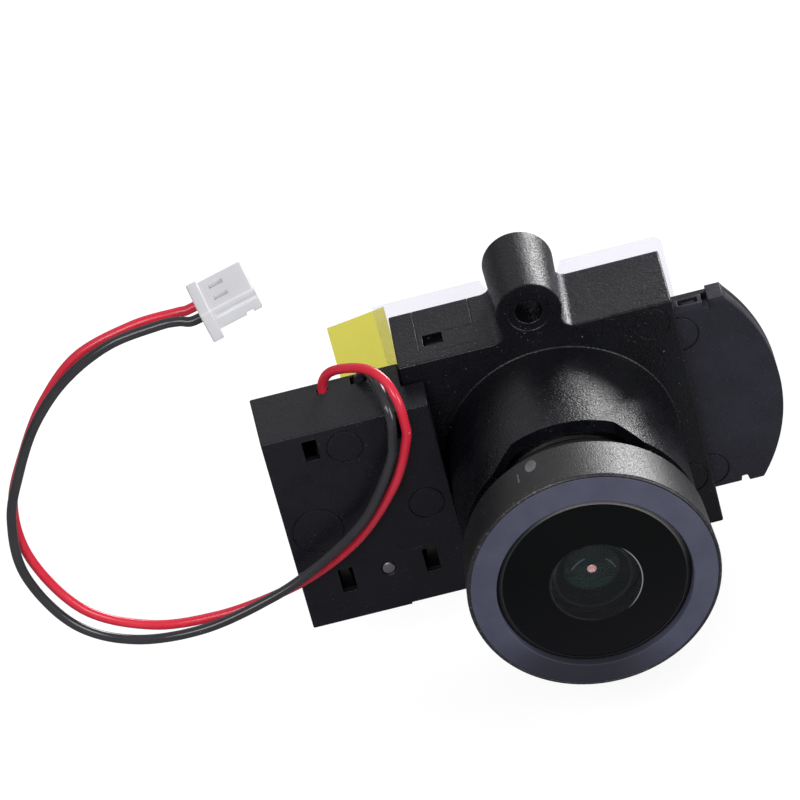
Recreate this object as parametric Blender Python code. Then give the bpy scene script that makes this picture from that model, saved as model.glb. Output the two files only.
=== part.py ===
"""Lens mount with an infrared-cut filter changer for a board camera.

The unit screws to the face of a camera board.  A wide-angle M12 lens sits in
a threaded sleeve; behind it a flat housing carries two small filters on a
slider, and a moving-magnet solenoid in the side box throws the slider from
one filter to the other.  A two-wire lead with a small plug feeds the coil,
and a peel-off film covers the opening that faces the image sensor.

Frame: the origin is on the rear face of the upper screw boss, in the board
plane; the lens looks along -Y, +X is to the right seen from the front and +Z
is up.  The pieces are drawn about the optical axis, which lies REFERENCE_Z below
the origin, and moved to the origin at the end.  Sizes are millimetres; meshes
are metres.  A pair named ..._X, ..._Y or ..._Z runs from the lower to the upper
end, so the front end comes first in y.
"""

import math

import bmesh
import bpy
from mathutils import Matrix, Vector

MM = 0.001

# ---------------------------------------------------- dimensions shared by sections
REFERENCE_Z = 12.6          # height of the origin above the optical axis
SMOOTH_ANGLE = 35           # edges sharper than this many degrees stay sharp
GLASS_SMOOTH_ANGLE = 50

BLOCK_X = 9.3               # half width of the mount block
BLOCK_Z = 9.2               # half height
BLOCK_FRONT = -6.35
BOSS_Z = 11.0               # half of the 22 mm screw pitch
SNAP_X = (-7.35, -6.00)     # snap windows in the block's top and bottom walls
SNAP_Y = (-4.50, -3.22)

FILTER_PITCH = 7.6          # distance between the two filters
FILTER_X, FILTER_Z = 3.4, 4.4   # half width and half height of a filter

# swing arm, seen from the front: x and z
PIVOT = (-13.28, -4.25)
PIN_R = 0.45
PIN_HOLE_R = PIN_R + 0.03   # in the covers
HUB_BORE_R = PIN_R + 0.05   # in the arm and the magnet
ARM = 6.40                  # pivot to drive pin
ARM_X = FILTER_PITCH / 2    # the drive pin moves this far to each side
ARM_Z = math.sqrt(ARM ** 2 - ARM_X ** 2)
DRIVE_PIN = (PIVOT[0] + ARM_X, PIVOT[1] + ARM_Z)
DRIVE_R = 0.50

RED_OUTLET = (-14.62, -4.64)    # x, y where the red wire leaves the box


# --------------------------------------------------------------------- scene
for old in list(bpy.data.objects):
    bpy.data.objects.remove(old, do_unlink=True)
PARTS = bpy.data.collections.new("filter_changer_lens_mount")
CUTTERS = bpy.data.collections.new("cutters")
bpy.context.scene.collection.children.link(PARTS)
bpy.context.scene.collection.children.link(CUTTERS)


# ------------------------------------------------------------------ outlines
def span(half, centre=0.0):
    """Range reaching half to each side of a centre."""
    return centre - half, centre + half


def arc(centre_x, centre_z, radius, start, end, steps):
    """steps + 1 points on an arc, angles in degrees from +x towards +z."""
    points = []
    for i in range(steps + 1):
        angle = math.radians(start + (end - start) * i / steps)
        points.append((centre_x + radius * math.cos(angle), centre_z + radius * math.sin(angle)))
    return points


def rounded(half_x, half_z, radius, steps):
    """Outline of a centred rectangle with round corners."""
    x, z = half_x - radius, half_z - radius
    return (arc(x, z, radius, 0, 90, steps) + arc(-x, z, radius, 90, 180, steps)
            + arc(-x, -z, radius, 180, 270, steps) + arc(x, -z, radius, 270, 360, steps))


# -------------------------------------------------------------------- solids
# Each function returns another that adds the solid to a bmesh.
def box(x, y, z):
    """A block given by its range on each axis."""
    def add(shape):
        size = Matrix.Diagonal((x[1] - x[0], y[1] - y[0], z[1] - z[0], 1.0))
        middle = Matrix.Translation(((x[0] + x[1]) / 2, (y[0] + y[1]) / 2, (z[0] + z[1]) / 2))
        bmesh.ops.create_cube(shape, size=1.0, matrix=middle @ size)
    return add


def extrude_face(shape, points):
    """Add a face, extrude it in place and return the new vertices."""
    face = shape.faces.new([shape.verts.new(point) for point in points])
    drawn = bmesh.ops.extrude_face_region(shape, geom=[face], use_keep_orig=True)
    return [item for item in drawn["geom"] if isinstance(item, bmesh.types.BMVert)]


def prism(outline, y0, y1, end_outline=None):
    """An outline in x and z, drawn from y0 to y1, where it may differ."""
    def add(shape):
        for vert in extrude_face(shape, [(x, y0, z) for x, z in outline]):
            nearest = min(range(len(outline)), key=lambda i: (
                (outline[i][0] - vert.co.x) ** 2 + (outline[i][1] - vert.co.z) ** 2))
            x, z = (end_outline or outline)[nearest]
            vert.co = (x, y1, z)
    return add


def upright(outline, z0, z1):
    """An outline in x and y, drawn up from z0 to z1."""
    def add(shape):
        for vert in extrude_face(shape, [(x, y, z0) for x, y in outline]):
            vert.co.z = z1
    return add


def turned(profile, steps, centre=(0.0, 0.0)):
    """A profile of (radius, y) points turned about an axis along Y."""
    def add(shape):
        centre_x, centre_z = centre
        verts = [shape.verts.new((centre_x + radius, y, centre_z)) for radius, y in profile]
        closed = profile[0][0] > 1e-9 or profile[-1][0] > 1e-9
        pairs = zip(verts, verts[1:] + (verts[:1] if closed else []))
        edges = [shape.edges.new(pair) for pair in pairs]
        bmesh.ops.spin(shape, geom=verts + edges, cent=(centre_x, 0.0, centre_z),
                       axis=(0.0, 1.0, 0.0), angle=2 * math.pi, steps=steps, use_merge=True)
        bmesh.ops.remove_doubles(shape, verts=shape.verts, dist=1e-5)
    return add


def ring(inner, outer, y0, y1, steps, centre=(0.0, 0.0)):
    return turned([(inner, y0), (outer, y0), (outer, y1), (inner, y1)], steps, centre)


def disc(radius, y0, y1, steps, centre=(0.0, 0.0)):
    return ring(0, radius, y0, y1, steps, centre)


def cylinder(radius, start, end, steps):
    """A cylinder between two points."""
    def add(shape):
        first, last = Vector(start), Vector(end)
        turn = (last - first).to_track_quat("Z", "Y").to_matrix().to_4x4()
        bmesh.ops.create_cone(shape, cap_ends=True, segments=steps, radius1=radius,
                              radius2=radius, depth=(last - first).length,
                              matrix=Matrix.Translation((first + last) / 2) @ turn)
    return add


# ------------------------------------------------------------------- objects
def make(name, solids, collection):
    """Turn solids in millimetres into one named object in metres."""
    shape = bmesh.new()
    for add in solids:
        add(shape)
    bmesh.ops.remove_doubles(shape, verts=shape.verts, dist=1e-5)
    bmesh.ops.recalc_face_normals(shape, faces=shape.faces)
    bmesh.ops.scale(shape, vec=(MM, MM, MM), verts=shape.verts)
    mesh = bpy.data.meshes.new(name)
    shape.to_mesh(mesh)
    shape.free()
    obj = bpy.data.objects.new(name, mesh)
    collection.objects.link(obj)
    return obj


def part(name, mat, *solids, smooth=0):
    """A visible piece, smooth shaded below the given angle if there is one."""
    obj = make(name, solids, PARTS)
    obj.data.materials.append(mat)
    if smooth:
        obj.data.shade_smooth()
        obj.data.set_sharp_from_angle(angle=math.radians(smooth))
    return obj


def combine(target, operation, name, solids):
    """Add a hidden helper and a boolean modifier that uses it."""
    helper = make(name, solids, CUTTERS)
    helper.hide_render = True
    helper.display_type = "WIRE"
    modifier = target.modifiers.new(operation.lower(), "BOOLEAN")
    modifier.operation = operation
    modifier.solver = "EXACT"
    modifier.object = helper


def cut(target, name, *solids):
    combine(target, "DIFFERENCE", name, solids)


def join(target, name, *solids):
    combine(target, "UNION", name, solids)


# ----------------------------------------------------------------- materials
def material(name, colour, roughness, metallic=0.0):
    mat = bpy.data.materials.new(name)
    mat.use_nodes = True
    bsdf = mat.node_tree.nodes["Principled BSDF"]
    bsdf.inputs["Base Color"].default_value = (*colour, 1.0)
    bsdf.inputs["Roughness"].default_value = roughness
    bsdf.inputs["Metallic"].default_value = metallic
    return mat


BLACK = material("black_moulded", colour=(0.018, 0.018, 0.022), roughness=0.55)
HEAD = material("black_anodised", colour=(0.03, 0.03, 0.034), roughness=0.38, metallic=0.3)
RING = material("ring_grey_blue", colour=(0.05, 0.052, 0.075), roughness=0.6)
GLASS = material("coated_glass", colour=(0.02, 0.025, 0.03), roughness=0.03)
INK = material("blackened", colour=(0.008, 0.008, 0.008), roughness=0.8)
STEEL = material("steel", colour=(0.55, 0.55, 0.54), roughness=0.3, metallic=1.0)
COPPER = material("enamelled_copper", colour=(0.45, 0.14, 0.05), roughness=0.35, metallic=0.8)
MAGNET = material("magnet_grey", colour=(0.12, 0.12, 0.12), roughness=0.45, metallic=0.6)
NATURAL = material("natural_nylon", colour=(0.78, 0.76, 0.70), roughness=0.5)
WHITE = material("white_nylon", colour=(0.86, 0.85, 0.88), roughness=0.45)
RED = material("red_pvc", colour=(0.62, 0.03, 0.06), roughness=0.35)
DARK = material("black_pvc", colour=(0.02, 0.02, 0.022), roughness=0.35)
TIN = material("tinned_brass", colour=(0.65, 0.62, 0.55), roughness=0.3, metallic=1.0)
BLUE = material("infrared_cut_glass", colour=(0.25, 0.55, 0.55), roughness=0.05)
CLEAR = material("clear_glass", colour=(0.8, 0.85, 0.85), roughness=0.05)
FILM = material("clear_film", colour=(0.86, 0.86, 0.93), roughness=0.25)
TAB = material("yellow_film", colour=(0.62, 0.60, 0.12), roughness=0.3)
RUBBER = material("ring_rubber", colour=(0.02, 0.02, 0.02), roughness=0.7)


# ---------------------------------------------------------------- mount body
POCKET_FRONT = -4.90        # pocket that takes the changer
POCKET_Z = 7.55
BOSS_R_FRONT, BOSS_R_REAR = 2.20, 2.39
BOSS_FILLET = 0.75
BOSS_OVERLAP = 1.2          # the boss outline reaches this far into the block
SCREW_R = 0.88
SINK_R = 1.30               # mouth of the countersink
SLEEVE_R = 7.85
SLEEVE_FRONT = -16.54
SLEEVE_INNER_R = 5.2        # before the bore is cut
SLEEVE_ROOT = -5.4
BORE_R = 6.05
MOUTH_R = 6.95              # wider front part of the bore
MOUTH_REAR = -12.80
BORE_TAPER = 0.6            # length of the cone between mouth and bore
NOTCH_REAR = -15.10         # notch in the sleeve's front edge, at the top
NOTCH_FRONT = -17.4         # front end of its cutter
NOTCH_X_REAR = 3.38         # half width at the rear
NOTCH_X_EDGE = 4.99         # half width at the sleeve's front edge
NOTCH_CENTRE_X = 0.25


def boss_outline(radius, side):
    """Round boss with concave fillets running into the block's face."""
    fillet_z = BLOCK_Z + BOSS_FILLET
    drop = BOSS_Z - fillet_z
    fillet_x = math.sqrt((radius + BOSS_FILLET) ** 2 - drop ** 2)
    tangent = math.degrees(math.atan2(-drop, fillet_x))
    points = [(fillet_x, BLOCK_Z - BOSS_OVERLAP)]
    points += arc(fillet_x, fillet_z, BOSS_FILLET, 270, 180 + tangent, 4)
    points += arc(0.0, BOSS_Z, radius, tangent, 180 - tangent, 20)[1:-1]
    points += arc(-fillet_x, fillet_z, BOSS_FILLET, -tangent, -90, 4)
    points += [(-fillet_x, BLOCK_Z - BOSS_OVERLAP)]
    return [(x, side * z) for x, z in points]


def notch_outline():
    """Trapezium in x and y that widens to the front."""
    slope = (NOTCH_X_EDGE - NOTCH_X_REAR) / (NOTCH_REAR - SLEEVE_FRONT)
    front_x = NOTCH_X_REAR + slope * (NOTCH_REAR - NOTCH_FRONT)
    corners = [(-front_x, NOTCH_FRONT), (front_x, NOTCH_FRONT),
               (NOTCH_X_REAR, NOTCH_REAR), (-NOTCH_X_REAR, NOTCH_REAR)]
    return [(x + NOTCH_CENTRE_X, y) for x, y in corners]


def build_mount_body():
    body = part("mount_body", BLACK, box(span(BLOCK_X), (BLOCK_FRONT, 0.0), span(BLOCK_Z)),
                smooth=SMOOTH_ANGLE)
    for side, label in ((1, "upper"), (-1, "lower")):
        join(body, f"boss_{label}", prism(boss_outline(BOSS_R_FRONT, side), BLOCK_FRONT, 0.0,
                                          boss_outline(BOSS_R_REAR, side)))
    join(body, "sleeve", ring(SLEEVE_INNER_R, SLEEVE_R, SLEEVE_ROOT, SLEEVE_FRONT, 64))
    cut(body, "changer_pocket", box((-11, 11), (POCKET_FRONT, 1.0), span(POCKET_Z)))
    cut(body, "lens_bore", turned(
        [(0, -18), (MOUTH_R, -18), (MOUTH_R, MOUTH_REAR), (BORE_R, MOUTH_REAR + BORE_TAPER),
         (BORE_R, -4.2), (0, -4.2)], 48))
    # countersunk screw holes
    hole = [(0, -7.2), (SINK_R, -7.2), (SINK_R, BLOCK_FRONT - 0.02),
            (SCREW_R, BLOCK_FRONT + 0.42), (SCREW_R, 1.0), (0, 1.0)]
    cut(body, "boss_holes", *[turned(hole, 20, (0.0, side * BOSS_Z)) for side in (1, -1)])
    # the last box is a relief in the left edge for the tip of the swing arm
    cut(body, "snap_windows",
        *[box(SNAP_X, SNAP_Y, sorted((side * 7.0, side * 10.5))) for side in (1, -1)],
        box((-10.5, -8.55), (-5.85, -4.5), (-0.4, 2.4)))
    cut(body, "sleeve_notch", upright(notch_outline(), 3.0, 9.0))


build_mount_body()


# ------------------------------------------------------------ filter changer
COVER_Y = (-4.84, -4.34)    # front plate
COVER_RIM_REAR = -3.62      # the plate's rim reaches back to here
COVER_CUT_Y = (-6.0, -3.9)  # cutters through the front plate
SLIDER_Y = (-4.26, -3.66)
FILTER_Y = (-4.12, -3.80)
BASE_Y = (-3.58, -3.08)     # rear plate
END_R = 12.35               # round right-hand end of both plates
END_CENTRE_X = 2.88
CHAMBER_WALL = 0.6          # rim left outside the chamber at the round end
LIGHT_WINDOW = rounded(3.3, 4.3, 0.6, 3)
ARM_SLOT_HALF = 0.72        # half width of the arc slot
ARM_SLOT_MARGIN = 7.5       # degrees the slot runs past each end position
FRAME_END = 4.2             # filter centre to the slider's end
FRAME_Z = 5.1
SEAT_GAP = 0.02
DRIVE_GAP = 0.16            # play of the drive pin in the slider's slot

# x, z of the front plate's edge after the round end, anticlockwise from top right
COVER_EDGE = [
    (11.72, 7.5), (11.72, 7.0), (9.50, 7.0), (9.50, 7.42), (-9.32, 7.42), (-9.32, 5.2),
    (-18.70, 5.2), (-18.70, -7.05), (-9.32, -7.05), (-9.32, -7.42), (11.17, -7.42),
    (11.25, -7.05), (11.62, -7.05), (11.71, -7.5)]
# x, z of the chamber's edge after its round end; it is open at the left
CHAMBER_EDGE = [
    (11.9, 6.4), (9.0, 6.2), (-9.0, 6.2), (-9.0, 8.5), (-20.0, 8.5),
    (-20.0, -8.5), (-9.0, -8.5), (-9.0, -6.2), (9.0, -6.2), (11.9, -6.4)]
# x, y of the latch loop: two posts and a rear bar
LATCH = [
    (9.62, -4.60), (9.95, -4.60), (9.95, -4.02), (11.05, -4.02),
    (11.05, -4.60), (11.38, -4.60), (11.38, -3.72), (9.62, -3.72)]
# x, z of the rear plate's edge after the round end
BASE_EDGE = [
    (9.2, 7.35), (9.2, 7.45), (-9.2, 7.45), (-9.2, 7.3), (-19.1, 7.3),
    (-19.1, -7.3), (-9.2, -7.3), (-9.2, -7.45), (9.2, -7.45), (9.2, -7.35)]


def round_end(half_height):
    """Right-hand end of a plate, from bottom to top."""
    top = math.degrees(math.asin(half_height / END_R))
    return arc(END_CENTRE_X, 0.0, END_R, -top, top, 20)


def arm_slot():
    """Arc slot that the drive pin sweeps."""
    swing = math.degrees(math.asin(ARM_X / ARM)) + ARM_SLOT_MARGIN
    return (arc(*PIVOT, ARM + ARM_SLOT_HALF, 90 - swing, 90 + swing, 12)
            + arc(*PIVOT, ARM - ARM_SLOT_HALF, 90 + swing, 90 - swing, 12))


def build_icr_cover():
    cover = part("icr_cover", BLACK,
                 prism(round_end(7.5) + COVER_EDGE, COVER_Y[0], COVER_RIM_REAR),
                 smooth=SMOOTH_ANGLE)
    chamber_end = arc(END_CENTRE_X, 0.0, END_R - CHAMBER_WALL, -30, 30, 12)
    cut(cover, "slider_chamber", prism(chamber_end + CHAMBER_EDGE, COVER_Y[1], -3.0))
    cut(cover, "cover_holes", prism(LIGHT_WINDOW, *COVER_CUT_Y), prism(arm_slot(), *COVER_CUT_Y),
        disc(PIN_HOLE_R, *COVER_CUT_Y, 16, PIVOT))
    join(cover, "latch_loop", upright(LATCH, 6.7, 7.46))


def build_icr_base():
    base = part("icr_base", BLACK, prism(round_end(7.35) + BASE_EDGE, *BASE_Y),
                smooth=SMOOTH_ANGLE)
    join(base, "sensor_shroud", prism(rounded(9.15, 7.38, 0.3, 2), -3.3, -0.08))
    cut(base, "shroud_pocket", prism(rounded(7.0, 6.3, 0.5, 3), BASE_Y[1], 1.0))
    cut(base, "base_window", prism(LIGHT_WINDOW, -5.0, -2.0))
    # hooks that stand in the block's top and bottom windows
    hook_x = (SNAP_X[0] + 0.08, SNAP_X[1] - 0.08)
    join(base, "snap_hooks", *[box(hook_x, (-3.52, -3.26), sorted((side * 7.0, side * 8.6)))
                               for side in (1, -1)])


def build_filter_frame():
    """Slider with two filter seats and a tongue with the drive slot at the left."""
    right = FILTER_PITCH + FRAME_END
    tongue_left, tongue_bottom, tongue_top = -10.83, -0.25, 3.25
    frame = part("filter_frame", NATURAL, prism(
        [(-FRAME_END, -FRAME_Z), (right, -FRAME_Z), (right, FRAME_Z), (-FRAME_END, FRAME_Z),
         (-FRAME_END, tongue_top), (tongue_left, tongue_top), (tongue_left, tongue_bottom),
         (-FRAME_END, tongue_bottom)], *SLIDER_Y))
    cut(frame, "frame_holes",
        *[box(span(FILTER_X + SEAT_GAP, x), (-5, -3), span(FILTER_Z + SEAT_GAP))
          for x in (0.0, FILTER_PITCH)],
        box(span(DRIVE_R + DRIVE_GAP, DRIVE_PIN[0]), (-5, -3), (0.15, 2.85)))


build_icr_cover()
build_icr_base()
build_filter_frame()
part("ir_cut_filter", BLUE, box(span(FILTER_X), FILTER_Y, span(FILTER_Z)))
part("clear_filter", CLEAR, box(span(FILTER_X, FILTER_PITCH), FILTER_Y, span(FILTER_Z)))


# -------------------------------------------------------------- solenoid box
BOX_X = (-19.26, -7.90)
BOX_Z = 7.60                # depth below the axis
BOX_TOP = 7.86
BOX_FLARE = 0.28            # the left wall leans outwards to the rear
BOX_FRONT, BOX_REAR = -9.28, -3.62
BOX_STEP_X = -9.38          # right of this the box stands in front of the block
BOX_STEP_Y = -6.40
WALL = 0.50
FRONT_CUT_Y = (-10.5, -8.5)     # cutters through the front wall
TOP_CUT_Z = (6.8, 8.4)          # cutters through the top wall


def box_outline(inset, rear):
    """Stepped outline of the box in x and y, seen from above."""
    left, right = BOX_X[0] + inset, BOX_X[1] - inset
    front, step_x, step_y = BOX_FRONT + inset, BOX_STEP_X - inset, BOX_STEP_Y - inset
    return [(left, front), (right, front), (right, step_y), (step_x, step_y),
            (step_x, rear), (left - BOX_FLARE, rear)]


def build_solenoid_cover():
    cover = part("solenoid_cover", BLACK, upright(box_outline(0.0, BOX_REAR), -BOX_Z, BOX_TOP),
                 smooth=SMOOTH_ANGLE)
    cut(cover, "box_hollow", upright(box_outline(WALL, BOX_REAR + 1.0),
                                     -BOX_Z + WALL, BOX_TOP - WALL))
    cut(cover, "box_windows",
        # four windows and the pivot hole in the front wall
        *[box(x, FRONT_CUT_Y, z) for x in ((-16.65, -15.65), (-10.85, -9.87))
          for z in ((5.73, 7.3), (-5.30, -3.40))],
        disc(PIN_HOLE_R, -10.5, -8.0, 16, PIVOT),
        # snap windows in the left wall
        *[box((-20.5, -18.4), (-7.9, -6.6), z) for z in ((4.4, 6.9), (-6.9, -4.5))],
        # gap in the right wall for the changer's plates and slider
        box((-10.4, -9.0), (-4.92, -3.0), span(BOX_Z - WALL)),
        # lead outlets in the top wall, round for red and square-cut for black
        cylinder(0.42, (*RED_OUTLET, TOP_CUT_Z[0]), (*RED_OUTLET, TOP_CUT_Z[1]), 16),
        box((-12.70, -11.57), (-4.80, -3.90), TOP_CUT_Z))
    # a deeper opening in the right wall where the swing arm reaches through
    cut(cover, "arm_opening", box((-10.5, -9.1), (-5.86, -4.0), (-1.7, 3.1)))


build_solenoid_cover()


# ------------------------------------------------------------------ solenoid
YOKE_X = (PIVOT[0] - 3.32, PIVOT[0] + 3.33)
YOKE_Y = (-7.90, -6.95)
YOKE_BOTTOM = -6.3
YOKE_BAR_Z = (3.45, 4.4)    # crossbar that carries the coil
YOKE_LEG = 0.72             # width of each leg
ROTOR_GAP_R = 2.72
CORE_GAP = 0.04             # between yoke, bobbin and winding
COIL_X = (-15.45, -11.10)
COIL_CUT_X = (-18, -9)      # cutters along the coil
COIL_Y = (YOKE_Y[0] + YOKE_Y[1]) / 2
COIL_Z = (YOKE_BAR_Z[0] + YOKE_BAR_Z[1]) / 2
BOBBIN_Y, BOBBIN_Z = 0.78, 0.80     # half sizes of the bobbin's tube
FLANGE_CENTRES = (COIL_X[0] - 0.23, COIL_X[1] + 0.23)
FLANGE_TOP = COIL_Z + 1.9
MAGNET_R = 2.1
ARM_Y = (-5.74, -4.95)
HUB_R = 1.35
ARM_TIP_R = 0.72


def build_yoke():
    left, right = YOKE_X
    bar_bottom, bar_top = YOKE_BAR_Z
    yoke = part("yoke", STEEL, prism(
        [(left, YOKE_BOTTOM), (left + YOKE_LEG, YOKE_BOTTOM), (left + YOKE_LEG, bar_bottom),
         (right - YOKE_LEG, bar_bottom), (right - YOKE_LEG, YOKE_BOTTOM), (right, YOKE_BOTTOM),
         (right, bar_top), (left, bar_top)], *YOKE_Y))
    cut(yoke, "rotor_clearance", cylinder(
        ROTOR_GAP_R, (PIVOT[0], -9.5, PIVOT[1]), (PIVOT[0], -5.0, PIVOT[1]), 32))


def build_coil():
    bobbin = part("coil_bobbin", NATURAL, box(
        (COIL_X[0] - 0.3, COIL_X[1] + 0.3), span(BOBBIN_Y, COIL_Y), span(BOBBIN_Z, COIL_Z)))
    join(bobbin, "bobbin_flanges",
         *[box(span(0.15, x), (COIL_Y - 1.3, COIL_Y + 1.45), (COIL_Z - 1.6, FLANGE_TOP))
           for x in FLANGE_CENTRES])
    cut(bobbin, "bobbin_core", box(
        COIL_CUT_X, (YOKE_Y[0] - CORE_GAP, YOKE_Y[1] + CORE_GAP),
        (YOKE_BAR_Z[0] - CORE_GAP, YOKE_BAR_Z[1] + CORE_GAP)))
    winding = part("coil_winding", COPPER, box(
        COIL_X, (COIL_Y - 1.22, COIL_Y + 1.32), span(1.5, COIL_Z)), smooth=SMOOTH_ANGLE)
    cut(winding, "winding_core", box(
        COIL_CUT_X, span(BOBBIN_Y + CORE_GAP, COIL_Y), span(BOBBIN_Z + CORE_GAP, COIL_Z)))
    for label, x in zip(("left", "right"), FLANGE_CENTRES):
        part(f"solder_post_{label}", TIN, box(
            span(0.13, x), (-6.3, -6.04), (FLANGE_TOP + 0.04, FLANGE_TOP + 1.0)))


def build_swing_arm():
    """Tapered arm from the hub to the drive pin, pointing up and right."""
    lean = math.degrees(math.atan2(ARM_Z, ARM_X))
    outline = (arc(*PIVOT, HUB_R, lean + 84, lean + 276, 12)
               + arc(*DRIVE_PIN, ARM_TIP_R, lean - 84, lean + 84, 6))
    arm = part("swing_arm", NATURAL, prism(outline, *ARM_Y), smooth=SMOOTH_ANGLE)
    join(arm, "drive_pin", disc(DRIVE_R, -5.3, -3.72, 12, DRIVE_PIN))
    cut(arm, "hub_bore", disc(HUB_BORE_R, -7, -4, 16, PIVOT))


build_yoke()
build_coil()
part("pivot_pin", STEEL, disc(PIN_R, -9.25, -4.38, 16, PIVOT), smooth=SMOOTH_ANGLE)
part("magnet_rotor", MAGNET, ring(HUB_BORE_R, MAGNET_R, -8.20, -5.80, 24, PIVOT),
     smooth=SMOOTH_ANGLE)
build_swing_arm()


# ---------------------------------------------------------------------- lens
THREAD_R = 5.95
BARREL_REAR = -6.00
HEAD_REAR, HEAD_FRONT = -17.84, -22.13
HEAD_R_REAR, HEAD_R_FRONT = 7.97, 8.33
HEAD_CHAMFER = 0.12
RIM_R = 6.43                # opening of the front ring
RIM_FRONT = -22.45          # the ring's face rises from the head's edge to here
ELEMENT_R = 3.95            # edge of the inner elements and rings

# radius, y
BARREL_PROFILE = [
    (4.95, BARREL_REAR), (5.75, BARREL_REAR), (THREAD_R, BARREL_REAR - 0.2), (THREAD_R, -17.30),
    (6.60, -17.30), (6.60, HEAD_REAR), (7.85, HEAD_REAR), (HEAD_R_REAR, HEAD_REAR - HEAD_CHAMFER),
    (HEAD_R_FRONT, HEAD_FRONT + HEAD_CHAMFER), (HEAD_R_FRONT - HEAD_CHAMFER, HEAD_FRONT),
    (8.14, HEAD_FRONT), (8.14, -21.72), (6.65, -21.72), (6.65, -19.84), (4.00, -19.84),
    (4.00, -7.55), (4.95, -7.55)]
FRONT_RING_PROFILE = [
    (RIM_R, -21.78), (8.10, -21.78), (8.10, HEAD_FRONT), (RIM_R + 0.08, RIM_FRONT),
    (RIM_R, RIM_FRONT + 0.06)]
FRICTION_RING_PROFILE = [
    (THREAD_R + 0.04, -15.75), (6.2, -15.95), (6.55, -15.95), (6.70, -15.75), (6.70, -15.45),
    (6.55, -15.25), (6.2, -15.25), (THREAD_R + 0.04, -15.45)]
# name, front face and rear face; each face is radius, y at its edge, rise along y
ELEMENTS = [
    ("second_element", (3.4, -19.75, -0.35), (2.7, -18.40, -0.90)),
    ("third_element", (2.9, -16.40, -0.20), (3.5, -14.60, 0.35)),
    ("doublet_front", (3.5, -13.55, -0.30), (3.5, -12.55, 0.50)),
    ("doublet_rear", (3.5, -12.50, 0.50), (3.5, -11.10, 0.15)),
    ("rear_element", (3.1, -9.60, -0.10), (3.3, -7.95, 0.25))]
# name, outer radius, front y, rear y, bore radius at the front and at the rear
INNER_RINGS = [
    ("spacer_ring", ELEMENT_R, -18.30, -16.70, 3.0, 3.0),
    ("aperture_stop", ELEMENT_R, -14.15, -13.95, 1.1, 1.3),
    ("rear_spacer", ELEMENT_R, -10.90, -9.75, 3.2, 3.2),
    ("rear_retainer", 4.90, -7.45, -6.15, 3.2, 3.6)]


def spherical_face(edge_radius, edge_y, rise, steps):
    """Profile of a spherical face from its edge to the axis."""
    ball = (edge_radius ** 2 + rise ** 2) / (2 * abs(rise))
    sign = 1 if rise > 0 else -1
    points = []
    for i in range(steps + 1):
        radius = edge_radius * (1 - i / steps)
        sag = ball - math.sqrt(ball ** 2 - radius * radius)
        points.append((radius, edge_y + rise - sign * sag))
    return points


def lens_element(name, front, rear, radius=ELEMENT_R, face_steps=4, steps=24):
    """Front face, flat shoulders with a cylindrical edge between them, rear face."""
    profile = (spherical_face(*front, face_steps)[::-1] + [(radius, front[1]), (radius, rear[1])]
               + spherical_face(*rear, face_steps))
    part(name, GLASS, turned(profile, steps), smooth=GLASS_SMOOTH_ANGLE)


part("lens_barrel", HEAD, turned(BARREL_PROFILE, 48), smooth=SMOOTH_ANGLE)
part("front_ring", RING, turned(FRONT_RING_PROFILE, 48), smooth=SMOOTH_ANGLE)
lens_element("front_element", (6.3, -21.66, -0.60), (3.6, -19.92, -1.45),
             radius=6.58, face_steps=5, steps=32)
for name, front, rear in ELEMENTS:
    lens_element(name, front, rear)
for name, outer, front, rear, bore_front, bore_rear in INNER_RINGS:
    part(name, INK, turned([(bore_front, front), (outer, front), (outer, rear), (bore_rear, rear)],
                           24), smooth=SMOOTH_ANGLE)
part("friction_ring", RUBBER, turned(FRICTION_RING_PROFILE, 32), smooth=GLASS_SMOOTH_ANGLE)


# ---------------------------------------------------------------------- lead
WIRE_R = 0.33
WIRE_STEPS = 2              # curve steps between two control points
CONTACT_Y = 0.625           # half of the 1.25 mm contact pitch

# plug frame: x along its length, y along the contact row, z its top normal
PLUG_AT = Vector((-20.62, -10.20, 19.83))       # centre of the lead side
PLUG_X = Vector((0.972, 0.157, 0.174)).normalized()
PLUG_Z = Vector((-0.152, -0.139, 0.979))
PLUG_Z = (PLUG_Z - PLUG_X * PLUG_Z.dot(PLUG_X)).normalized()
PLUG_Y = PLUG_Z.cross(PLUG_X)                   # towards +y
PLUG_TURN = Matrix((PLUG_X, PLUG_Y, PLUG_Z)).transposed().to_4x4()


def plug_entry(row):
    """Last two control points of a wire, running into the plug."""
    place = Matrix.Translation(PLUG_AT) @ PLUG_TURN
    return [place @ Vector((x, row, 0)) for x in (-0.6, 0.9)]


# x, y, z control points from the coil to the plug
RED_PATH = [
    (*RED_OUTLET, 6.15), (*RED_OUTLET, 7.60), (-14.40, -4.75, 8.60), (-13.70, -5.20, 9.50),
    (-12.35, -6.30, 10.15), (-11.15, -7.40, 10.35), (-10.25, -8.60, 10.00), (-9.78, -9.60, 9.05),
    (-9.68, -9.90, 7.40), (-9.90, -9.95, 5.90), (-11.40, -9.90, 2.70), (-14.40, -9.82, -0.70),
    (-17.85, -9.82, -2.75), (-21.30, -9.82, -3.80), (-25.35, -9.82, -4.25),
    (-29.65, -9.82, -3.65), (-33.65, -9.82, -1.10), (-35.95, -9.82, 3.80), (-36.00, -9.82, 8.35),
    (-34.10, -9.82, 12.50), (-31.85, -9.80, 15.90), (-28.95, -9.80, 18.55),
    (-25.00, -9.75, 19.70), (-22.00, -9.65, 19.78), *plug_entry(CONTACT_Y)]
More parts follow.
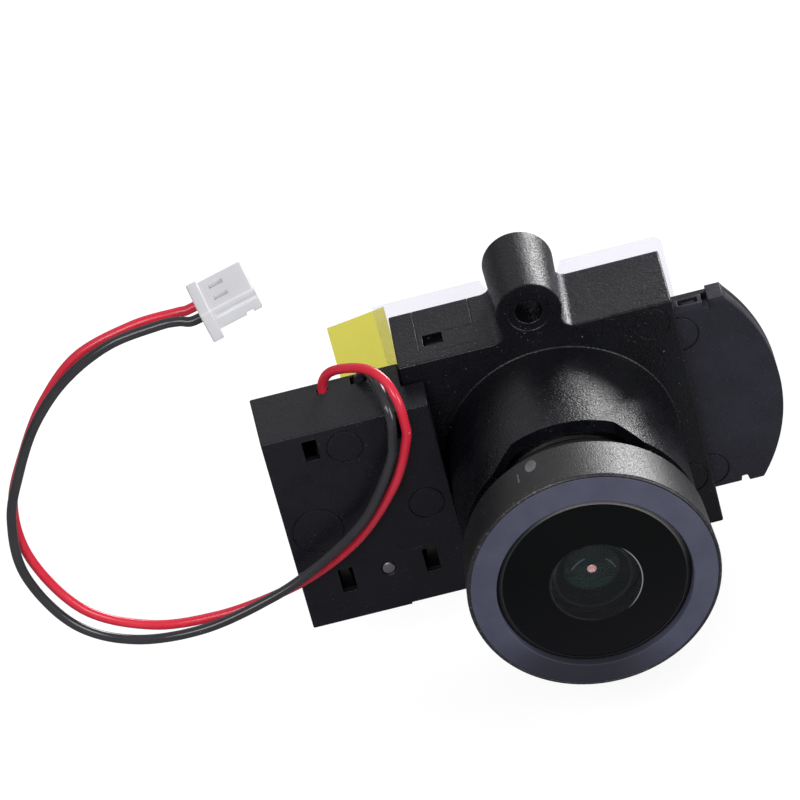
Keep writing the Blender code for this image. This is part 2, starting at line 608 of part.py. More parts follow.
BLACK_PATH = [
    (-12.15, -4.36, 6.15), (-12.15, -4.36, 7.70), (-11.50, -5.10, 8.75), (-10.98, -6.70, 9.15),
    (-10.76, -8.05, 9.30), (-10.56, -9.55, 8.85), (-10.50, -10.20, 7.80), (-10.75, -10.30, 6.40),
    (-11.20, -10.30, 4.90), (-13.00, -10.40, 2.00), (-14.80, -10.45, 0.15),
    (-18.10, -10.55, -1.95), (-21.35, -10.62, -3.35), (-26.25, -10.64, -4.45),
    (-30.95, -10.64, -3.90), (-34.50, -10.64, -1.45), (-36.55, -10.64, 3.30),
    (-36.30, -10.64, 7.75), (-34.90, -10.64, 11.20), (-32.90, -10.64, 14.65),
    (-30.15, -10.64, 17.45), (-26.80, -10.64, 19.25), (-23.40, -10.68, 19.80),
    (-22.00, -10.72, 19.78), *plug_entry(-CONTACT_Y)]


def smooth_path(points):
    """Catmull-Rom curve through the control points."""
    knots = [Vector(point) for point in points]
    knots = [knots[0] * 2 - knots[1]] + knots + [knots[-1] * 2 - knots[-2]]
    path = []
    for before, start, end, after in zip(knots, knots[1:], knots[2:], knots[3:]):
        for k in range(WIRE_STEPS):
            t = k / WIRE_STEPS
            path.append(0.5 * (2 * start + (end - before) * t
                               + (2 * before - 5 * start + 4 * end - after) * t ** 2
                               + (3 * start - before - 3 * end + after) * t ** 3))
    return path + [knots[-2]]


def wire(name, mat, points):
    curve = bpy.data.curves.new(name, "CURVE")
    curve.dimensions = "3D"
    curve.bevel_depth = WIRE_R * MM
    curve.bevel_resolution = 1
    curve.use_fill_caps = True
    path = smooth_path(points)
    line = curve.splines.new("POLY")
    line.points.add(len(path) - 1)
    for point, place in zip(line.points, path):
        point.co = (*(place * MM), 1.0)
    curve.materials.append(mat)
    PARTS.objects.link(bpy.data.objects.new(name, curve))


def build_plug():
    """Plug housing and its two crimp terminals, drawn in the plug frame."""
    rows = (-CONTACT_Y, CONTACT_Y)
    housing = part("plug_housing", WHITE, box((0.55, 3.87), span(1.60), span(0.90)))
    join(housing, "plug_flange", box((0.0, 0.75), span(1.75), (-1.55, 0.98)))
    cut(housing, "plug_cavities", *[box((-0.5, 3.4), span(0.42, y), span(0.42)) for y in rows])
    cut(housing, "plug_fronts", *[box((3.2, 4.5), span(0.28, y), span(0.28)) for y in rows])
    cut(housing, "plug_grooves", box((0.9, 4.5), (-1.9, -1.40), (0.02, 0.45)),
        box((2.75, 3.25), (-1.9, -1.2), (-1.2, -0.62)))
    for y, label in ((CONTACT_Y, "red"), (-CONTACT_Y, "black")):
        terminal = part(f"crimp_terminal_{label}", TIN,
                        box((1.0, 3.3), span(0.36, y), span(0.36)))
        cut(terminal, f"terminal_socket_{label}", box((1.8, 3.6), span(0.22, y), span(0.22)))
    # move the plug's pieces and their helpers to the end of the lead
    for obj in bpy.data.objects:
        if obj.name.startswith(("plug_", "crimp_terminal", "terminal_socket")):
            obj.matrix_world = Matrix.Translation(PLUG_AT * MM) @ PLUG_TURN


wire("red_wire", RED, RED_PATH)
wire("black_wire", DARK, BLACK_PATH)
build_plug()


# ---------------------------------------------------------------------- film
FILM_Y = (0.04, 0.16)
FILM_LEFT, FILM_RIGHT = -10.17, 9.69
FILM_TOP = 10.15            # half height
FILM_NOTCH_R = 2.9
TAB_Y = (FILM_Y[1] + 0.02, FILM_Y[1] + 0.14)
# x, z
TAB_OUTLINE = [(-13.46, -3.2), (-9.40, -3.2), (-9.40, 9.95), (FILM_LEFT, 9.82), (-13.46, 9.30)]


def film_outline():
    """Nearly square film, cut away round both screw seats."""
    dip = math.degrees(math.asin((BOSS_Z - FILM_TOP) / FILM_NOTCH_R))
    upper = arc(0.0, BOSS_Z, FILM_NOTCH_R, -dip, -180 + dip, 12)
    lower = arc(0.0, -BOSS_Z, FILM_NOTCH_R, 180 - dip, dip, 12)
    return ([(FILM_RIGHT, -FILM_TOP), (FILM_RIGHT, FILM_TOP)] + upper
            + [(FILM_LEFT, FILM_TOP), (FILM_LEFT, -FILM_TOP)] + lower)


part("dust_film", FILM, prism(film_outline(), *FILM_Y))
part("pull_tab", TAB, prism(TAB_OUTLINE, *TAB_Y))

# -------------------------------------------------------- move to the origin
bpy.context.view_layer.update()
for obj in list(PARTS.objects) + list(CUTTERS.objects):
    obj.matrix_world = Matrix.Translation((0.0, 0.0, -REFERENCE_Z * MM)) @ obj.matrix_world
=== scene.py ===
"""Looks for a lens mount with a filter changer.

The optical axis runs along Y: the lens looks to -Y (front) and the block's open side faces +Y.
Seen from the front, +X is right and +Z is up; the solenoid case and the leads lie to the left.
The visible pieces are drawn in millimetres about the optical axis, then placed on it in metres.
The pieces inside the housing keep their CAD meshes and get materials.
"""

from math import asin, atan2, ceil, cos, degrees, hypot, pi, radians, sin, sqrt

import bmesh
import bpy
from mathutils import Matrix, Vector, noise

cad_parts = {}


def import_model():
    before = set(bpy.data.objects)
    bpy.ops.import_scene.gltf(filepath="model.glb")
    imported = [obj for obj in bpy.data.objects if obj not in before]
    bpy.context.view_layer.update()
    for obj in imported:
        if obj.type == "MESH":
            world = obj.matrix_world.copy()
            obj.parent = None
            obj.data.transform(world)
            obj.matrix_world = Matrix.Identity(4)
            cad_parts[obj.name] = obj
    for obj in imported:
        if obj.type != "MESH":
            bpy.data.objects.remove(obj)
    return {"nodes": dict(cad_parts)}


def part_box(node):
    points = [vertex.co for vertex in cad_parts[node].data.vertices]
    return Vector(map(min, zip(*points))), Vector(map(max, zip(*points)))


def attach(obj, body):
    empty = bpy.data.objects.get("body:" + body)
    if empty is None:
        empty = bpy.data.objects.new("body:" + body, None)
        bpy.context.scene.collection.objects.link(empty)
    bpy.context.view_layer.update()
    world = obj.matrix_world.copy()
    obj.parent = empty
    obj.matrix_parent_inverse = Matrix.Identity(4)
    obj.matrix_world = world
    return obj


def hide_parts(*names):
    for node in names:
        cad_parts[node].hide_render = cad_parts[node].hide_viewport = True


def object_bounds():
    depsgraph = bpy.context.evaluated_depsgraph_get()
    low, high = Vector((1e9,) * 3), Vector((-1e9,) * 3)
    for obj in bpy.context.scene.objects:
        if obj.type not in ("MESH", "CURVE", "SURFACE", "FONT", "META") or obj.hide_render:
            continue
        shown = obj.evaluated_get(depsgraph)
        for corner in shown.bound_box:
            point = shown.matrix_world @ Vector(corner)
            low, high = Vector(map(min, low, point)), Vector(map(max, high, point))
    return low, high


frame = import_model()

scene = bpy.context.scene
CAD_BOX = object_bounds()
barrel_low, barrel_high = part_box("lens_barrel")
AXIS_Z = (barrel_low.z + barrel_high.z) / 2
PLACE = Matrix.Translation((0.0, 0.0, AXIS_Z)) @ Matrix.Scale(0.001, 4)

# Shared places, in mm about the optical axis
BLOCK_X, BLOCK_Z = 9.3, 9.2         # half sizes of the block
BLOCK_FRONT = -6.35
BOSS_Z = 11.0                       # screw bosses, above and below the axis
COVER_FRONT = -4.84                 # front face of the housing cover
END_X, END_RADIUS = 2.88, 12.35     # round right end of the housing
WINDOW = ((-3.3, 3.3), (-4.3, 4.3), 0.6)   # x, z and corner radius of the light window
CASE_FRONT = -9.28                  # front face of the solenoid case
PIVOT = (-13.28, -4.25)             # x, z of the swing arm's pin
HEAD_BACK_Y, HEAD_FRONT_Y = -17.96, -22.00
HEAD_BACK_RADIUS, HEAD_FRONT_RADIUS = 8.10, 8.33


# ------------------------------------------------------------------- meshes
def to_object(shape, name):
    """Turns a bmesh into an object in the scene."""
    mesh = bpy.data.meshes.new(name)
    shape.to_mesh(mesh)
    shape.free()
    piece = bpy.data.objects.new(name, mesh)
    scene.collection.objects.link(piece)
    return piece


def solid(shape):
    """Cleans a bmesh and makes it a working solid."""
    bmesh.ops.remove_doubles(shape, verts=shape.verts, dist=1e-5)
    bmesh.ops.recalc_face_normals(shape, faces=shape.faces)
    return to_object(shape, "temp")


def bake(piece):
    """Turns the modifiers of a working solid into mesh."""
    graph = bpy.context.evaluated_depsgraph_get()
    graph.update()
    mesh = bpy.data.meshes.new_from_object(piece.evaluated_get(graph))
    piece.modifiers.clear()
    old = piece.data
    piece.data = mesh
    bpy.data.meshes.remove(old)
    return piece


def combine(target, others, operation):
    for other in others:
        mod = target.modifiers.new("boolean", "BOOLEAN")
        mod.operation = operation
        mod.solver = "EXACT"
        mod.object = other
    bake(target)
    for other in others:
        mesh = other.data
        bpy.data.objects.remove(other, do_unlink=True)
        bpy.data.meshes.remove(mesh)


def cut(target, *others):
    combine(target, others, "DIFFERENCE")


def join(target, *others):
    combine(target, others, "UNION")


def soften(piece, width, segments, angle):
    mod = piece.modifiers.new("bevel", "BEVEL")
    mod.width = width
    mod.segments = segments
    mod.limit_method = "ANGLE"
    mod.angle_limit = radians(angle)
    mod.use_clamp_overlap = True
    mod.miter_outer = "MITER_ARC"
    bake(piece)


def box(x, y, z, edge=0.0, segments=2):
    """A block between pairs of x, y and z, its edges rounded by edge."""
    shape = bmesh.new()
    size = Matrix.Diagonal((x[1] - x[0], y[1] - y[0], z[1] - z[0], 1.0))
    middle = Matrix.Translation(((x[0] + x[1]) / 2, (y[0] + y[1]) / 2, (z[0] + z[1]) / 2))
    bmesh.ops.create_cube(shape, size=1.0, matrix=middle @ size)
    if edge:
        bmesh.ops.bevel(shape, geom=shape.edges[:], offset=edge, segments=segments, profile=0.5,
                        affect="EDGES")
    return solid(shape)


def bridge(first, second, edge=0.0, segments=2, sharp=38):
    """A solid between two matching loops of points; edges past sharp degrees are rounded."""
    shape = bmesh.new()
    near = [shape.verts.new(point) for point in first]
    far = [shape.verts.new(point) for point in second]
    count = len(near)
    shape.faces.new(near)
    shape.faces.new(far[::-1])
    for i in range(count):
        j = (i + 1) % count
        shape.faces.new((near[i], far[i], far[j], near[j]))
    bmesh.ops.recalc_face_normals(shape, faces=shape.faces)
    if edge:
        edges = [e for e in shape.edges
                 if len(e.link_faces) == 2 and e.calc_face_angle(0.0) > radians(sharp)]
        bmesh.ops.bevel(shape, geom=edges, offset=edge, segments=segments, profile=0.5,
                        affect="EDGES", clamp_overlap=True)
    return solid(shape)


def prism(outline, front, back, back_outline=None, edge=0.0):
    """An x-z outline drawn from y = front to y = back."""
    return bridge([(x, front, z) for x, z in outline],
                  [(x, back, z) for x, z in back_outline or outline], edge)


def standing(outline, bottom, top, edge=0.0, segments=2):
    """An x-y outline drawn from z = bottom up to z = top."""
    return bridge([(x, y, bottom) for x, y in outline], [(x, y, top) for x, y in outline],
                  edge, segments)


def turned(profile, steps=96, centre=(0.0, 0.0), shaped=None):
    """A (radius, y) profile turned about an axis along Y through centre (x, z).

    A profile that doesn't start on the axis is closed on itself.
    shaped(radius, y, angle, index) may change the radius of single points.
    """
    shape = bmesh.new()
    rings = []
    for i, (radius, y) in enumerate(profile):
        if radius < 1e-6:
            rings.append([shape.verts.new((centre[0], y, centre[1]))])
            continue
        ring = []
        for k in range(steps):
            angle = 2 * pi * k / steps
            reach = shaped(radius, y, angle, i) if shaped else radius
            ring.append(shape.verts.new((centre[0] + reach * cos(angle), y,
                                         centre[1] + reach * sin(angle))))
        rings.append(ring)
    pairs = list(zip(rings, rings[1:]))
    if len(rings[0]) > 1 and len(rings[-1]) > 1:
        pairs.append((rings[-1], rings[0]))
    for one, two in pairs:
        for k in range(steps):
            j = (k + 1) % steps
            if len(one) == 1:
                shape.faces.new((one[0], two[j], two[k]))
            elif len(two) == 1:
                shape.faces.new((one[k], one[j], two[0]))
            else:
                shape.faces.new((one[k], one[j], two[j], two[k]))
    bmesh.ops.recalc_face_normals(shape, faces=shape.faces)
    return solid(shape)


def rod(radius, start, end, steps=32):
    shape = bmesh.new()
    start, end = Vector(start), Vector(end)
    turn = (end - start).to_track_quat("Z", "Y").to_matrix().to_4x4()
    bmesh.ops.create_cone(shape, cap_ends=True, segments=steps, radius1=radius, radius2=radius,
                          depth=(end - start).length,
                          matrix=Matrix.Translation((start + end) / 2) @ turn)
    return solid(shape)


def arc(x, z, radius, start, end, steps):
    """Points on a circle from start to end degrees, counted from +X towards +Z."""
    return [(x + radius * cos(radians(start + (end - start) * i / steps)),
             z + radius * sin(radians(start + (end - start) * i / steps)))
            for i in range(steps + 1)]


def rounded(x, z, radius, steps=6):
    """A rectangle between pairs of x and z with round corners."""
    (x0, x1), (z0, z1) = x, z
    return (arc(x1 - radius, z1 - radius, radius, 0, 90, steps)
            + arc(x0 + radius, z1 - radius, radius, 90, 180, steps)
            + arc(x0 + radius, z0 + radius, radius, 180, 270, steps)
            + arc(x1 - radius, z0 + radius, radius, 270, 360, steps))


OVERSHOOT = 0.1     # how far line cutters stand proud of the face


def groove(x, z, radius, face, depth=0.085, half=0.0765):
    """Cutter for a circular line, twice half wide, in a face at y = face that looks to -Y."""
    return turned([(radius - half, face - OVERSHOOT), (radius + half, face - OVERSHOOT),
                   (radius + half * 0.5, face + depth), (radius - half * 0.5, face + depth)],
                  72, (x, z))


def arc_groove(x, z, radius, face, depth, half, start, end):
    """Cutter for part of a circular line, with upright sides."""
    return prism(arc(x, z, radius + half, start, end, 36)
                 + arc(x, z, radius - half, end, start, 36), face - OVERSHOOT, face + depth)


def place(piece, name, finish, body, slot, nodes=(), smooth=32, weighted=True):
    """Names a working solid, puts it on the optical axis, shades it and rides it on its body."""
    mesh = piece.data
    mesh.transform(PLACE)
    mesh.update()
    mesh.materials.clear()
    for key in (finish,) if isinstance(finish, str) else finish:
        mesh.materials.append(FINISH[key])
    mesh.shade_smooth()
    mesh.set_sharp_from_angle(angle=radians(smooth))
    if weighted:
        mod = piece.modifiers.new("normals", "WEIGHTED_NORMAL")
        mod.keep_sharp = True
        mod.weight = 60
    piece.name = name
    mesh.name = name
    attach(piece, body)
    if nodes:
        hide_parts(*nodes)
    return piece


# ------------------------------------------------------------- shader nodes
def feed(tree, socket, value):
    """Links a socket to value if that is a socket too, or else sets it."""
    if isinstance(value, bpy.types.NodeSocket):
        tree.links.new(value, socket)
    elif isinstance(value, tuple) and socket.type == "RGBA":
        socket.default_value = (*value, 1.0)
    else:
        socket.default_value = value


def add_node(tree, kind, inputs=None, **settings):
    """Adds a node; inputs maps socket names or numbers to values or sockets, None is skipped."""
    node = tree.nodes.new("ShaderNode" + kind)
    for key, value in settings.items():
        setattr(node, key, value)
    for key, value in (inputs or {}).items():
        if value is not None:
            feed(tree, node.inputs[key], value)
    return node


def new_material(name):
    """A material, its emptied node tree and its output node."""
    material = bpy.data.materials.new(name)
    material.use_nodes = True
    material.node_tree.nodes.clear()
    return material, material.node_tree, add_node(material.node_tree, "OutputMaterial")


class Finish:
    """One material round a principled shader; lengths are millimetres."""

    def __init__(self, name):
        self.material, self.tree, self.output = new_material(name)
        self.principled = self.add("BsdfPrincipled").outputs[0]
        self.show(self.principled)
        coords = self.add("TexCoord").outputs["Object"]
        self.coords = self.scaled(coords, (1000.0, 1000.0, 1000.0))

    def add(self, kind, inputs=None, **settings):
        return add_node(self.tree, kind, inputs, **settings)

    def show(self, shader):
        feed(self.tree, self.output.inputs["Surface"], shader)

    def set(self, inputs):
        for name, value in inputs.items():
            feed(self.tree, self.principled.node.inputs[name], value)

    def scaled(self, vector, factors):
        return self.add("VectorMath", {0: vector, 1: factors}, operation="MULTIPLY").outputs[0]

    def noise(self, scale, detail=3.0, rough=0.55, stretch=None):
        vector = self.scaled(self.coords, stretch) if stretch else self.coords
        return self.add("TexNoise", {"Scale": scale, "Detail": detail, "Roughness": rough,
                                     "Vector": vector}).outputs["Fac"]

    def cells(self, scale):
        return self.add("TexVoronoi", {"Scale": scale,
                                       "Vector": self.coords}).outputs["Distance"]

    def ramp(self, value, span, to=(0.0, 1.0)):
        """Smooth step from to[0] at span[0] to to[1] at span[1]."""
        return self.add("MapRange", {"Value": value, "From Min": span[0], "From Max": span[1],
                                     "To Min": to[0], "To Max": to[1]},
                        interpolation_type="SMOOTHSTEP").outputs["Result"]

    def math(self, operation, first, second=None):
        return self.add("Math", {0: first, 1: second}, operation=operation).outputs[0]

    def times(self, first, *others):
        for other in others:
            first = self.math("MULTIPLY", first, other)
        return first

    def mix(self, mask, under, over, amount=None):
        """Lays colour over on colour under where mask, weakened by amount, is 1."""
        if amount is not None:
            mask = self.times(mask, amount)
        return self.add("Mix", {0: mask, 6: under, 7: over}, data_type="RGBA").outputs[2]

    def specks(self, scale, spot, patches, detail, region):
        """Dots in the cells of a pattern, spot wide, kept to the patches of a noise."""
        return self.times(self.ramp(self.cells(scale), spot),
                          self.ramp(self.noise(patches, detail), region))

    def bump(self, height, depth, normal=None, strength=1.0):
        return self.add("Bump", {"Distance": depth * 0.001, "Strength": strength,
                                 "Height": height, "Normal": normal}).outputs["Normal"]

    def round_normal(self, radius):
        return self.add("Bevel", {"Radius": radius * 0.001}, samples=4).outputs["Normal"]

    def edge(self, radius):
        """1 on convex and concave edges, 0 on flats."""
        true_normal = self.add("NewGeometry").outputs["True Normal"]
        dot = self.add("VectorMath", {0: self.round_normal(radius), 1: true_normal},
                       operation="DOT_PRODUCT").outputs["Value"]
        return self.ramp(dot, span=(0.985, 0.86))

    def axes(self):
        return self.add("SeparateXYZ", {0: self.coords}).outputs


class LensFinish(Finish):
    """A finish that knows the place about the optical axis: x, y, up and radius."""

    def __init__(self, name):
        super().__init__(name)
        self.x, self.y, z = self.axes()
        self.up = self.math("SUBTRACT", z, AXIS_Z * 1000.0)
        self.radius = self.math("SQRT", self.math("ADD", self.times(self.x, self.x),
                                                  self.times(self.up, self.up)))

    def toward(self, angle):
        """Cosine of the angle off a direction, in degrees from +X towards +Z."""
        angle = radians(angle)
        along = self.math("ADD", self.times(self.x, cos(angle)), self.times(self.up, sin(angle)))
        return self.math("DIVIDE", along, self.math("MAXIMUM", self.radius, 0.01))

    def band(self, inner, outer, soft):
        """A ring between two radii."""
        return self.times(self.ramp(self.radius, (inner - soft, inner + soft)),
                          self.ramp(self.radius, (outer + soft, outer - soft)))

    def add_painted_glow(self, colour, depth):
        """Painted reflection: an emission that stands in for the faint light the coated faces throw
        back, seen only below a ray depth.
        """
        ray = self.add("LightPath").outputs["Ray Depth"]
        glow = self.add("Emission", {"Color": colour,
                                     "Strength": self.math("LESS_THAN", ray, depth)})
        self.show(self.add("AddShader", {0: self.principled, 1: glow.outputs[0]}).outputs[0])


# ---------------------------------------------------------------- materials
def moulded(name, base, rough, depth, dust, cloud, spec=0.5, grain=7.4, edge=0.05):
    """Black moulded plastic: eroded grain, dull clouds, dust and slightly polished edges."""
    mat = Finish(name)
    clouds = mat.noise(scale=0.35, detail=4.0, rough=0.6)
    fine = mat.noise(scale=grain, detail=4.0, rough=0.6)
    coarse = mat.noise(scale=grain * 0.28, detail=2.0, rough=0.5)
    pits = mat.cells(scale=grain * 0.85)
    cloudy = tuple(c * (1.0 + 1.4 * cloud) for c in base)
    grainy = tuple(c * 2.2 + 0.002 for c in base)
    col = mat.mix(mat.ramp(clouds, span=(0.35, 0.7)), base, cloudy)
    col = mat.mix(mat.ramp(fine, span=(0.55, 0.75)), col, grainy, amount=0.35)
    large = mat.specks(scale=0.9, spot=(0.07, 0.035), patches=0.8, detail=1.0, region=(0.50, 0.56))
    small = mat.specks(scale=3.4, spot=(0.16, 0.08), patches=0.9, detail=2.0, region=(0.50, 0.60))
    col = mat.mix(mat.math("MAXIMUM", large, small), col, over=(0.42, 0.42, 0.43), amount=dust)
    col = mat.mix(mat.edge(edge), col, over=(0.045, 0.045, 0.050), amount=0.35)
    roughness = mat.math("ADD", mat.ramp(clouds, span=(0.3, 0.75), to=(rough - 0.05, rough + 0.07)),
                         mat.ramp(fine, span=(0.35, 0.65), to=(-0.09, 0.09)))
    normal = mat.bump(coarse, depth * 0.9, mat.round_normal(edge))
    normal = mat.bump(pits, depth * 0.7, normal)
    mat.set({"Base Color": col, "Roughness": roughness, "Specular IOR Level": spec,
             "Normal": mat.bump(fine, depth, normal)})
    return mat.material


def simple(name, base, rough, metallic=0.0, grain=8.0, depth=0.003, spec=0.5, vary=0.12,
           stretch=None):
    """A plain finish with its own grain, colour drift and roughness drift."""
    mat = Finish(name)
    fine = mat.noise(scale=grain, stretch=stretch)
    drift = mat.ramp(mat.noise(scale=0.6), span=(0.3, 0.7))
    dark = tuple(c * (1 - vary) for c in base)
    light = tuple(c * (1 + vary) for c in base)
    mat.set({"Base Color": mat.mix(drift, dark, light),
             "Roughness": mat.ramp(fine, span=(0.25, 0.75), to=(rough - 0.06, rough + 0.06)),
             "Metallic": metallic, "Specular IOR Level": spec, "Normal": mat.bump(fine, depth)})
    return mat.material


def anodised():
    """Lens head: black with bare metal worn through, and a shank darkened and dulled as painted
    shade.
    """
    mat = Finish("anodised_black")
    fine = mat.noise(scale=8.5, rough=0.6)
    grit = mat.cells(scale=9.0)
    clouds = mat.noise(scale=0.5, detail=4.0, rough=0.6)
    y = mat.axes()["Y"]
    col = mat.mix(mat.ramp(clouds, span=(0.35, 0.7)),
                  under=(0.0085, 0.0085, 0.0095), over=(0.014, 0.014, 0.0155))
    # bare metal on the front edge of the head, broken up by noise
    wear_and_highlight = mat.times(mat.ramp(y, span=(-21.35, -22.0)),
                       mat.ramp(mat.noise(scale=5.5, rough=0.7), span=(0.56, 0.66)))
    col = mat.mix(wear_and_highlight, col, over=(0.20, 0.19, 0.18), amount=0.55)
    streaks = mat.noise(scale=3.0, detail=2.0, rough=0.5, stretch=(1.0, 0.12, 1.0))
    scuff = mat.times(mat.ramp(streaks, span=(0.68, 0.74)), mat.ramp(y, span=(-17.8, -18.6)))
    col = mat.mix(scuff, col, over=(0.11, 0.11, 0.11), amount=0.25)
    col = mat.mix(mat.edge(0.05), col, over=(0.10, 0.098, 0.095), amount=0.45)
    # the shank behind the head is darkened and its reflections weakened: painted shade for the
    # recess inside the sleeve
    shank = mat.ramp(y, span=(-17.55, -17.35))
    normal = mat.bump(grit, depth=0.008, normal=mat.round_normal(0.05), strength=0.9)
    mat.set({"Base Color": mat.mix(shank, col, over=(0.003, 0.003, 0.003)),
             "Roughness": mat.ramp(fine, span=(0.32, 0.68), to=(0.29, 0.52)),
             "Specular IOR Level": mat.math("ADD", mat.times(shank, -0.35), 0.75),
             "Normal": mat.bump(fine, depth=0.021, normal=normal)})
    return mat.material


def ring_finish():
    """Blue-grey front ring, darkened towards its bottom as painted shade."""
    mat = LensFinish("ring_blue_grey")
    fine = mat.noise(scale=8.5, rough=0.65)
    clouds = mat.noise(scale=0.45, detail=4.0, rough=0.6)
    col = mat.mix(mat.ramp(clouds, span=(0.3, 0.7)),
                  under=(0.080, 0.085, 0.129), over=(0.098, 0.103, 0.152))
    col = mat.mix(mat.ramp(fine, span=(0.58, 0.72)), col, over=(0.15, 0.155, 0.20), amount=0.3)
    dust = mat.specks(scale=1.5, spot=(0.07, 0.03), patches=1.0, detail=1.0, region=(0.55, 0.6))
    col = mat.mix(dust, col, over=(0.3, 0.3, 0.32), amount=0.4)
    # painted shade: the ring's downward-facing bottom is darkened
    shaded_bottom = mat.ramp(mat.toward(-107), span=(0.60, 1.0))
    col = mat.mix(shaded_bottom, col, over=(0.014, 0.014, 0.020), amount=0.80)
    mat.set({"Base Color": col, "Specular IOR Level": 0.45,
             "Roughness": mat.ramp(fine, span=(0.3, 0.7), to=(0.50, 0.62)),
             "Normal": mat.bump(fine, depth=0.0060, normal=mat.round_normal(0.04))})
    return mat.material


def glass(name, tint, spec):
    """Coated optical glass; spec keeps its reflections weak."""
    mat = Finish(name)
    mat.set({"Base Color": tint, "Transmission Weight": 1.0, "IOR": 1.5,
             "Specular IOR Level": spec,
             "Roughness": mat.ramp(mat.noise(scale=0.8, detail=2.0), span=(0.4, 0.75),
                                   to=(0.0, 0.012))})
    return mat.material


def front_glass_finish():
    """Coated meniscus with painted reflections as glow: a crescent on the hollow rear face, thin
    arcs and glints, and a lower reflection on the dome.
    """
    mat = LensFinish("coated_glass")
    radius, times, ramp = mat.radius, mat.times, mat.ramp
    front = ramp(mat.y, span=(-21.75, -21.85))
    rear = ramp(mat.y, span=(-21.85, -21.75))
    # outside a radius of 3 the glass is opaque near-black: beyond the hollow the rear face is
    # blacked out, and the band inside the hollow's edge is painted shade that hides that edge, so
    # nothing comes back through the glass
    clear = ramp(radius, span=(3.06, 3.00))
    weaker = mat.math("SUBTRACT", 0.22, times(clear, 0.12))
    mat.set({"IOR": 1.5, "Transmission Weight": clear,
             "Roughness": ramp(mat.noise(scale=0.8, detail=2.0), span=(0.4, 0.75),
                               to=(0.0, 0.012)),
             "Base Color": mat.mix(ramp(radius, span=(2.99, 2.93)),
                                   under=(0.0005, 0.0007, 0.0007), over=(0.44, 0.60, 0.55)),
             "Specular IOR Level": times(front, weaker)})
    # painted reflection: a crescent on the hollow, widest at the top
    wide = ramp(mat.toward(97), span=(0.10, 1.0))
    shifted = mat.math("SUBTRACT", radius, times(wide, 0.26))
    crescent = times(rear, ramp(radius, span=(2.40, 2.46)), ramp(shifted, span=(2.58, 2.52)))
    hollow = times(rear, ramp(radius, span=(2.44, 2.40)))
    # painted reflections: thin bright arcs on the dome and two small glints on the hollow rear face
    arc_right = times(front, mat.band(inner=3.07, outer=3.13, soft=0.03),
                      ramp(mat.toward(-6), span=(0.58, 0.86)))
    arc_left = times(front, mat.band(inner=2.86, outer=2.94, soft=0.05),
                     ramp(mat.toward(205), span=(0.3, 0.9)))
    glint_left = times(rear, mat.band(inner=1.50, outer=1.60, soft=0.05),
                       ramp(mat.toward(122), span=(0.90, 0.96)))
    glint_right = times(rear, mat.band(inner=1.51, outer=1.58, soft=0.04),
                        ramp(mat.toward(30), span=(0.93, 0.97)))
    # painted reflection, brighter towards the bottom of the dome
    lower_reflection = times(front, ramp(mat.up, span=(2.0, -5.5)))
    fade = mat.math("ADD", times(wide, 0.55), 0.35)
    col = mat.mix(lower_reflection, under=(0.0002, 0.0007, 0.0006), over=(0.0028, 0.0024, 0.0036))
    # each mark below is painted light, including a faint glow on the clear dome and in the hollow,
    # shown as emission
    for mask, colour, amount in ((times(front, clear), (0.0002, 0.0004, 0.0004), None),
                                 (rear, (0.0, 0.0, 0.0), None),
                                 (hollow, (0.0, 0.0012, 0.0008), None),
                                 (crescent, (0.036, 0.045, 0.052), fade),
                                 (arc_right, (0.26, 0.27, 0.27), None),
                                 (arc_left, (0.016, 0.017, 0.016), None),
                                 (glint_left, (0.075, 0.076, 0.110), None),
                                 (glint_right, (0.085, 0.084, 0.100), None)):
        col = mat.mix(mask, col, colour, amount)
    # dust specks on the dome: real dust, drawn as glowing spots in the painted reflection emission
    dust = mat.specks(scale=1.2, spot=(0.055, 0.03), patches=0.9, detail=1.0, region=(0.54, 0.6))
    col = mat.mix(times(dust, front), col, over=(0.075, 0.075, 0.08))
    mat.add_painted_glow(col, depth=mat.math("ADD", 0.5, rear))
    return mat.material


def inner_glass_finish():
    """Second element: painted glow for the bright spot of light through the stop, a halo round it
    and a reflection on the lower half of its face.
    """
    mat = LensFinish("inner_glass")
    radius = mat.radius
    front = mat.ramp(mat.y, span=(-19.2, -19.4))
    # outside a radius of 2 the element is opaque near-black: painted shade for the dark inside of
    # the lens
    mat.set({"IOR": 1.5, "Specular IOR Level": 0.0,
             "Roughness": mat.ramp(mat.noise(scale=0.8, detail=2.0), span=(0.4, 0.75),
                                   to=(0.0, 0.01)),
             "Transmission Weight": mat.ramp(radius, span=(2.06, 1.98)),
             "Base Color": mat.mix(mat.ramp(radius, span=(1.97, 1.90)),
                                   under=(0.0008, 0.0010, 0.0010), over=(0.10, 0.16, 0.14))})
    # painted reflection on the lower half of the face and a faint halo, as glow
    slant = mat.math("ADD", mat.times(mat.x, 0.30), mat.up)
    half = mat.times(front, mat.ramp(slant, span=(-0.80, -0.92)),
                     mat.ramp(radius, span=(2.05, 1.9)))
    halo = mat.times(front, mat.ramp(radius, span=(0.95, 0.35)))
    # painted glint: a bright warm spot standing in for the light through the stop
    spot = mat.times(front, mat.ramp(radius, span=(0.37, 0.32)))
    warm = mat.ramp(mat.noise(scale=2.2, detail=2.0, rough=0.6), span=(0.40, 0.58))
    glint_glow_colour = mat.mix(warm, under=(1.70, 1.35, 1.38), over=(1.10, 0.38, 0.44))
    col = mat.mix(half, under=(0.0, 0.0, 0.0), over=(0.002, 0.012, 0.009))
    col = mat.mix(halo, col, over=(0.003, 0.006, 0.006))
    mat.add_painted_glow(mat.mix(spot, col, glint_glow_colour), depth=2.5)
    return mat.material


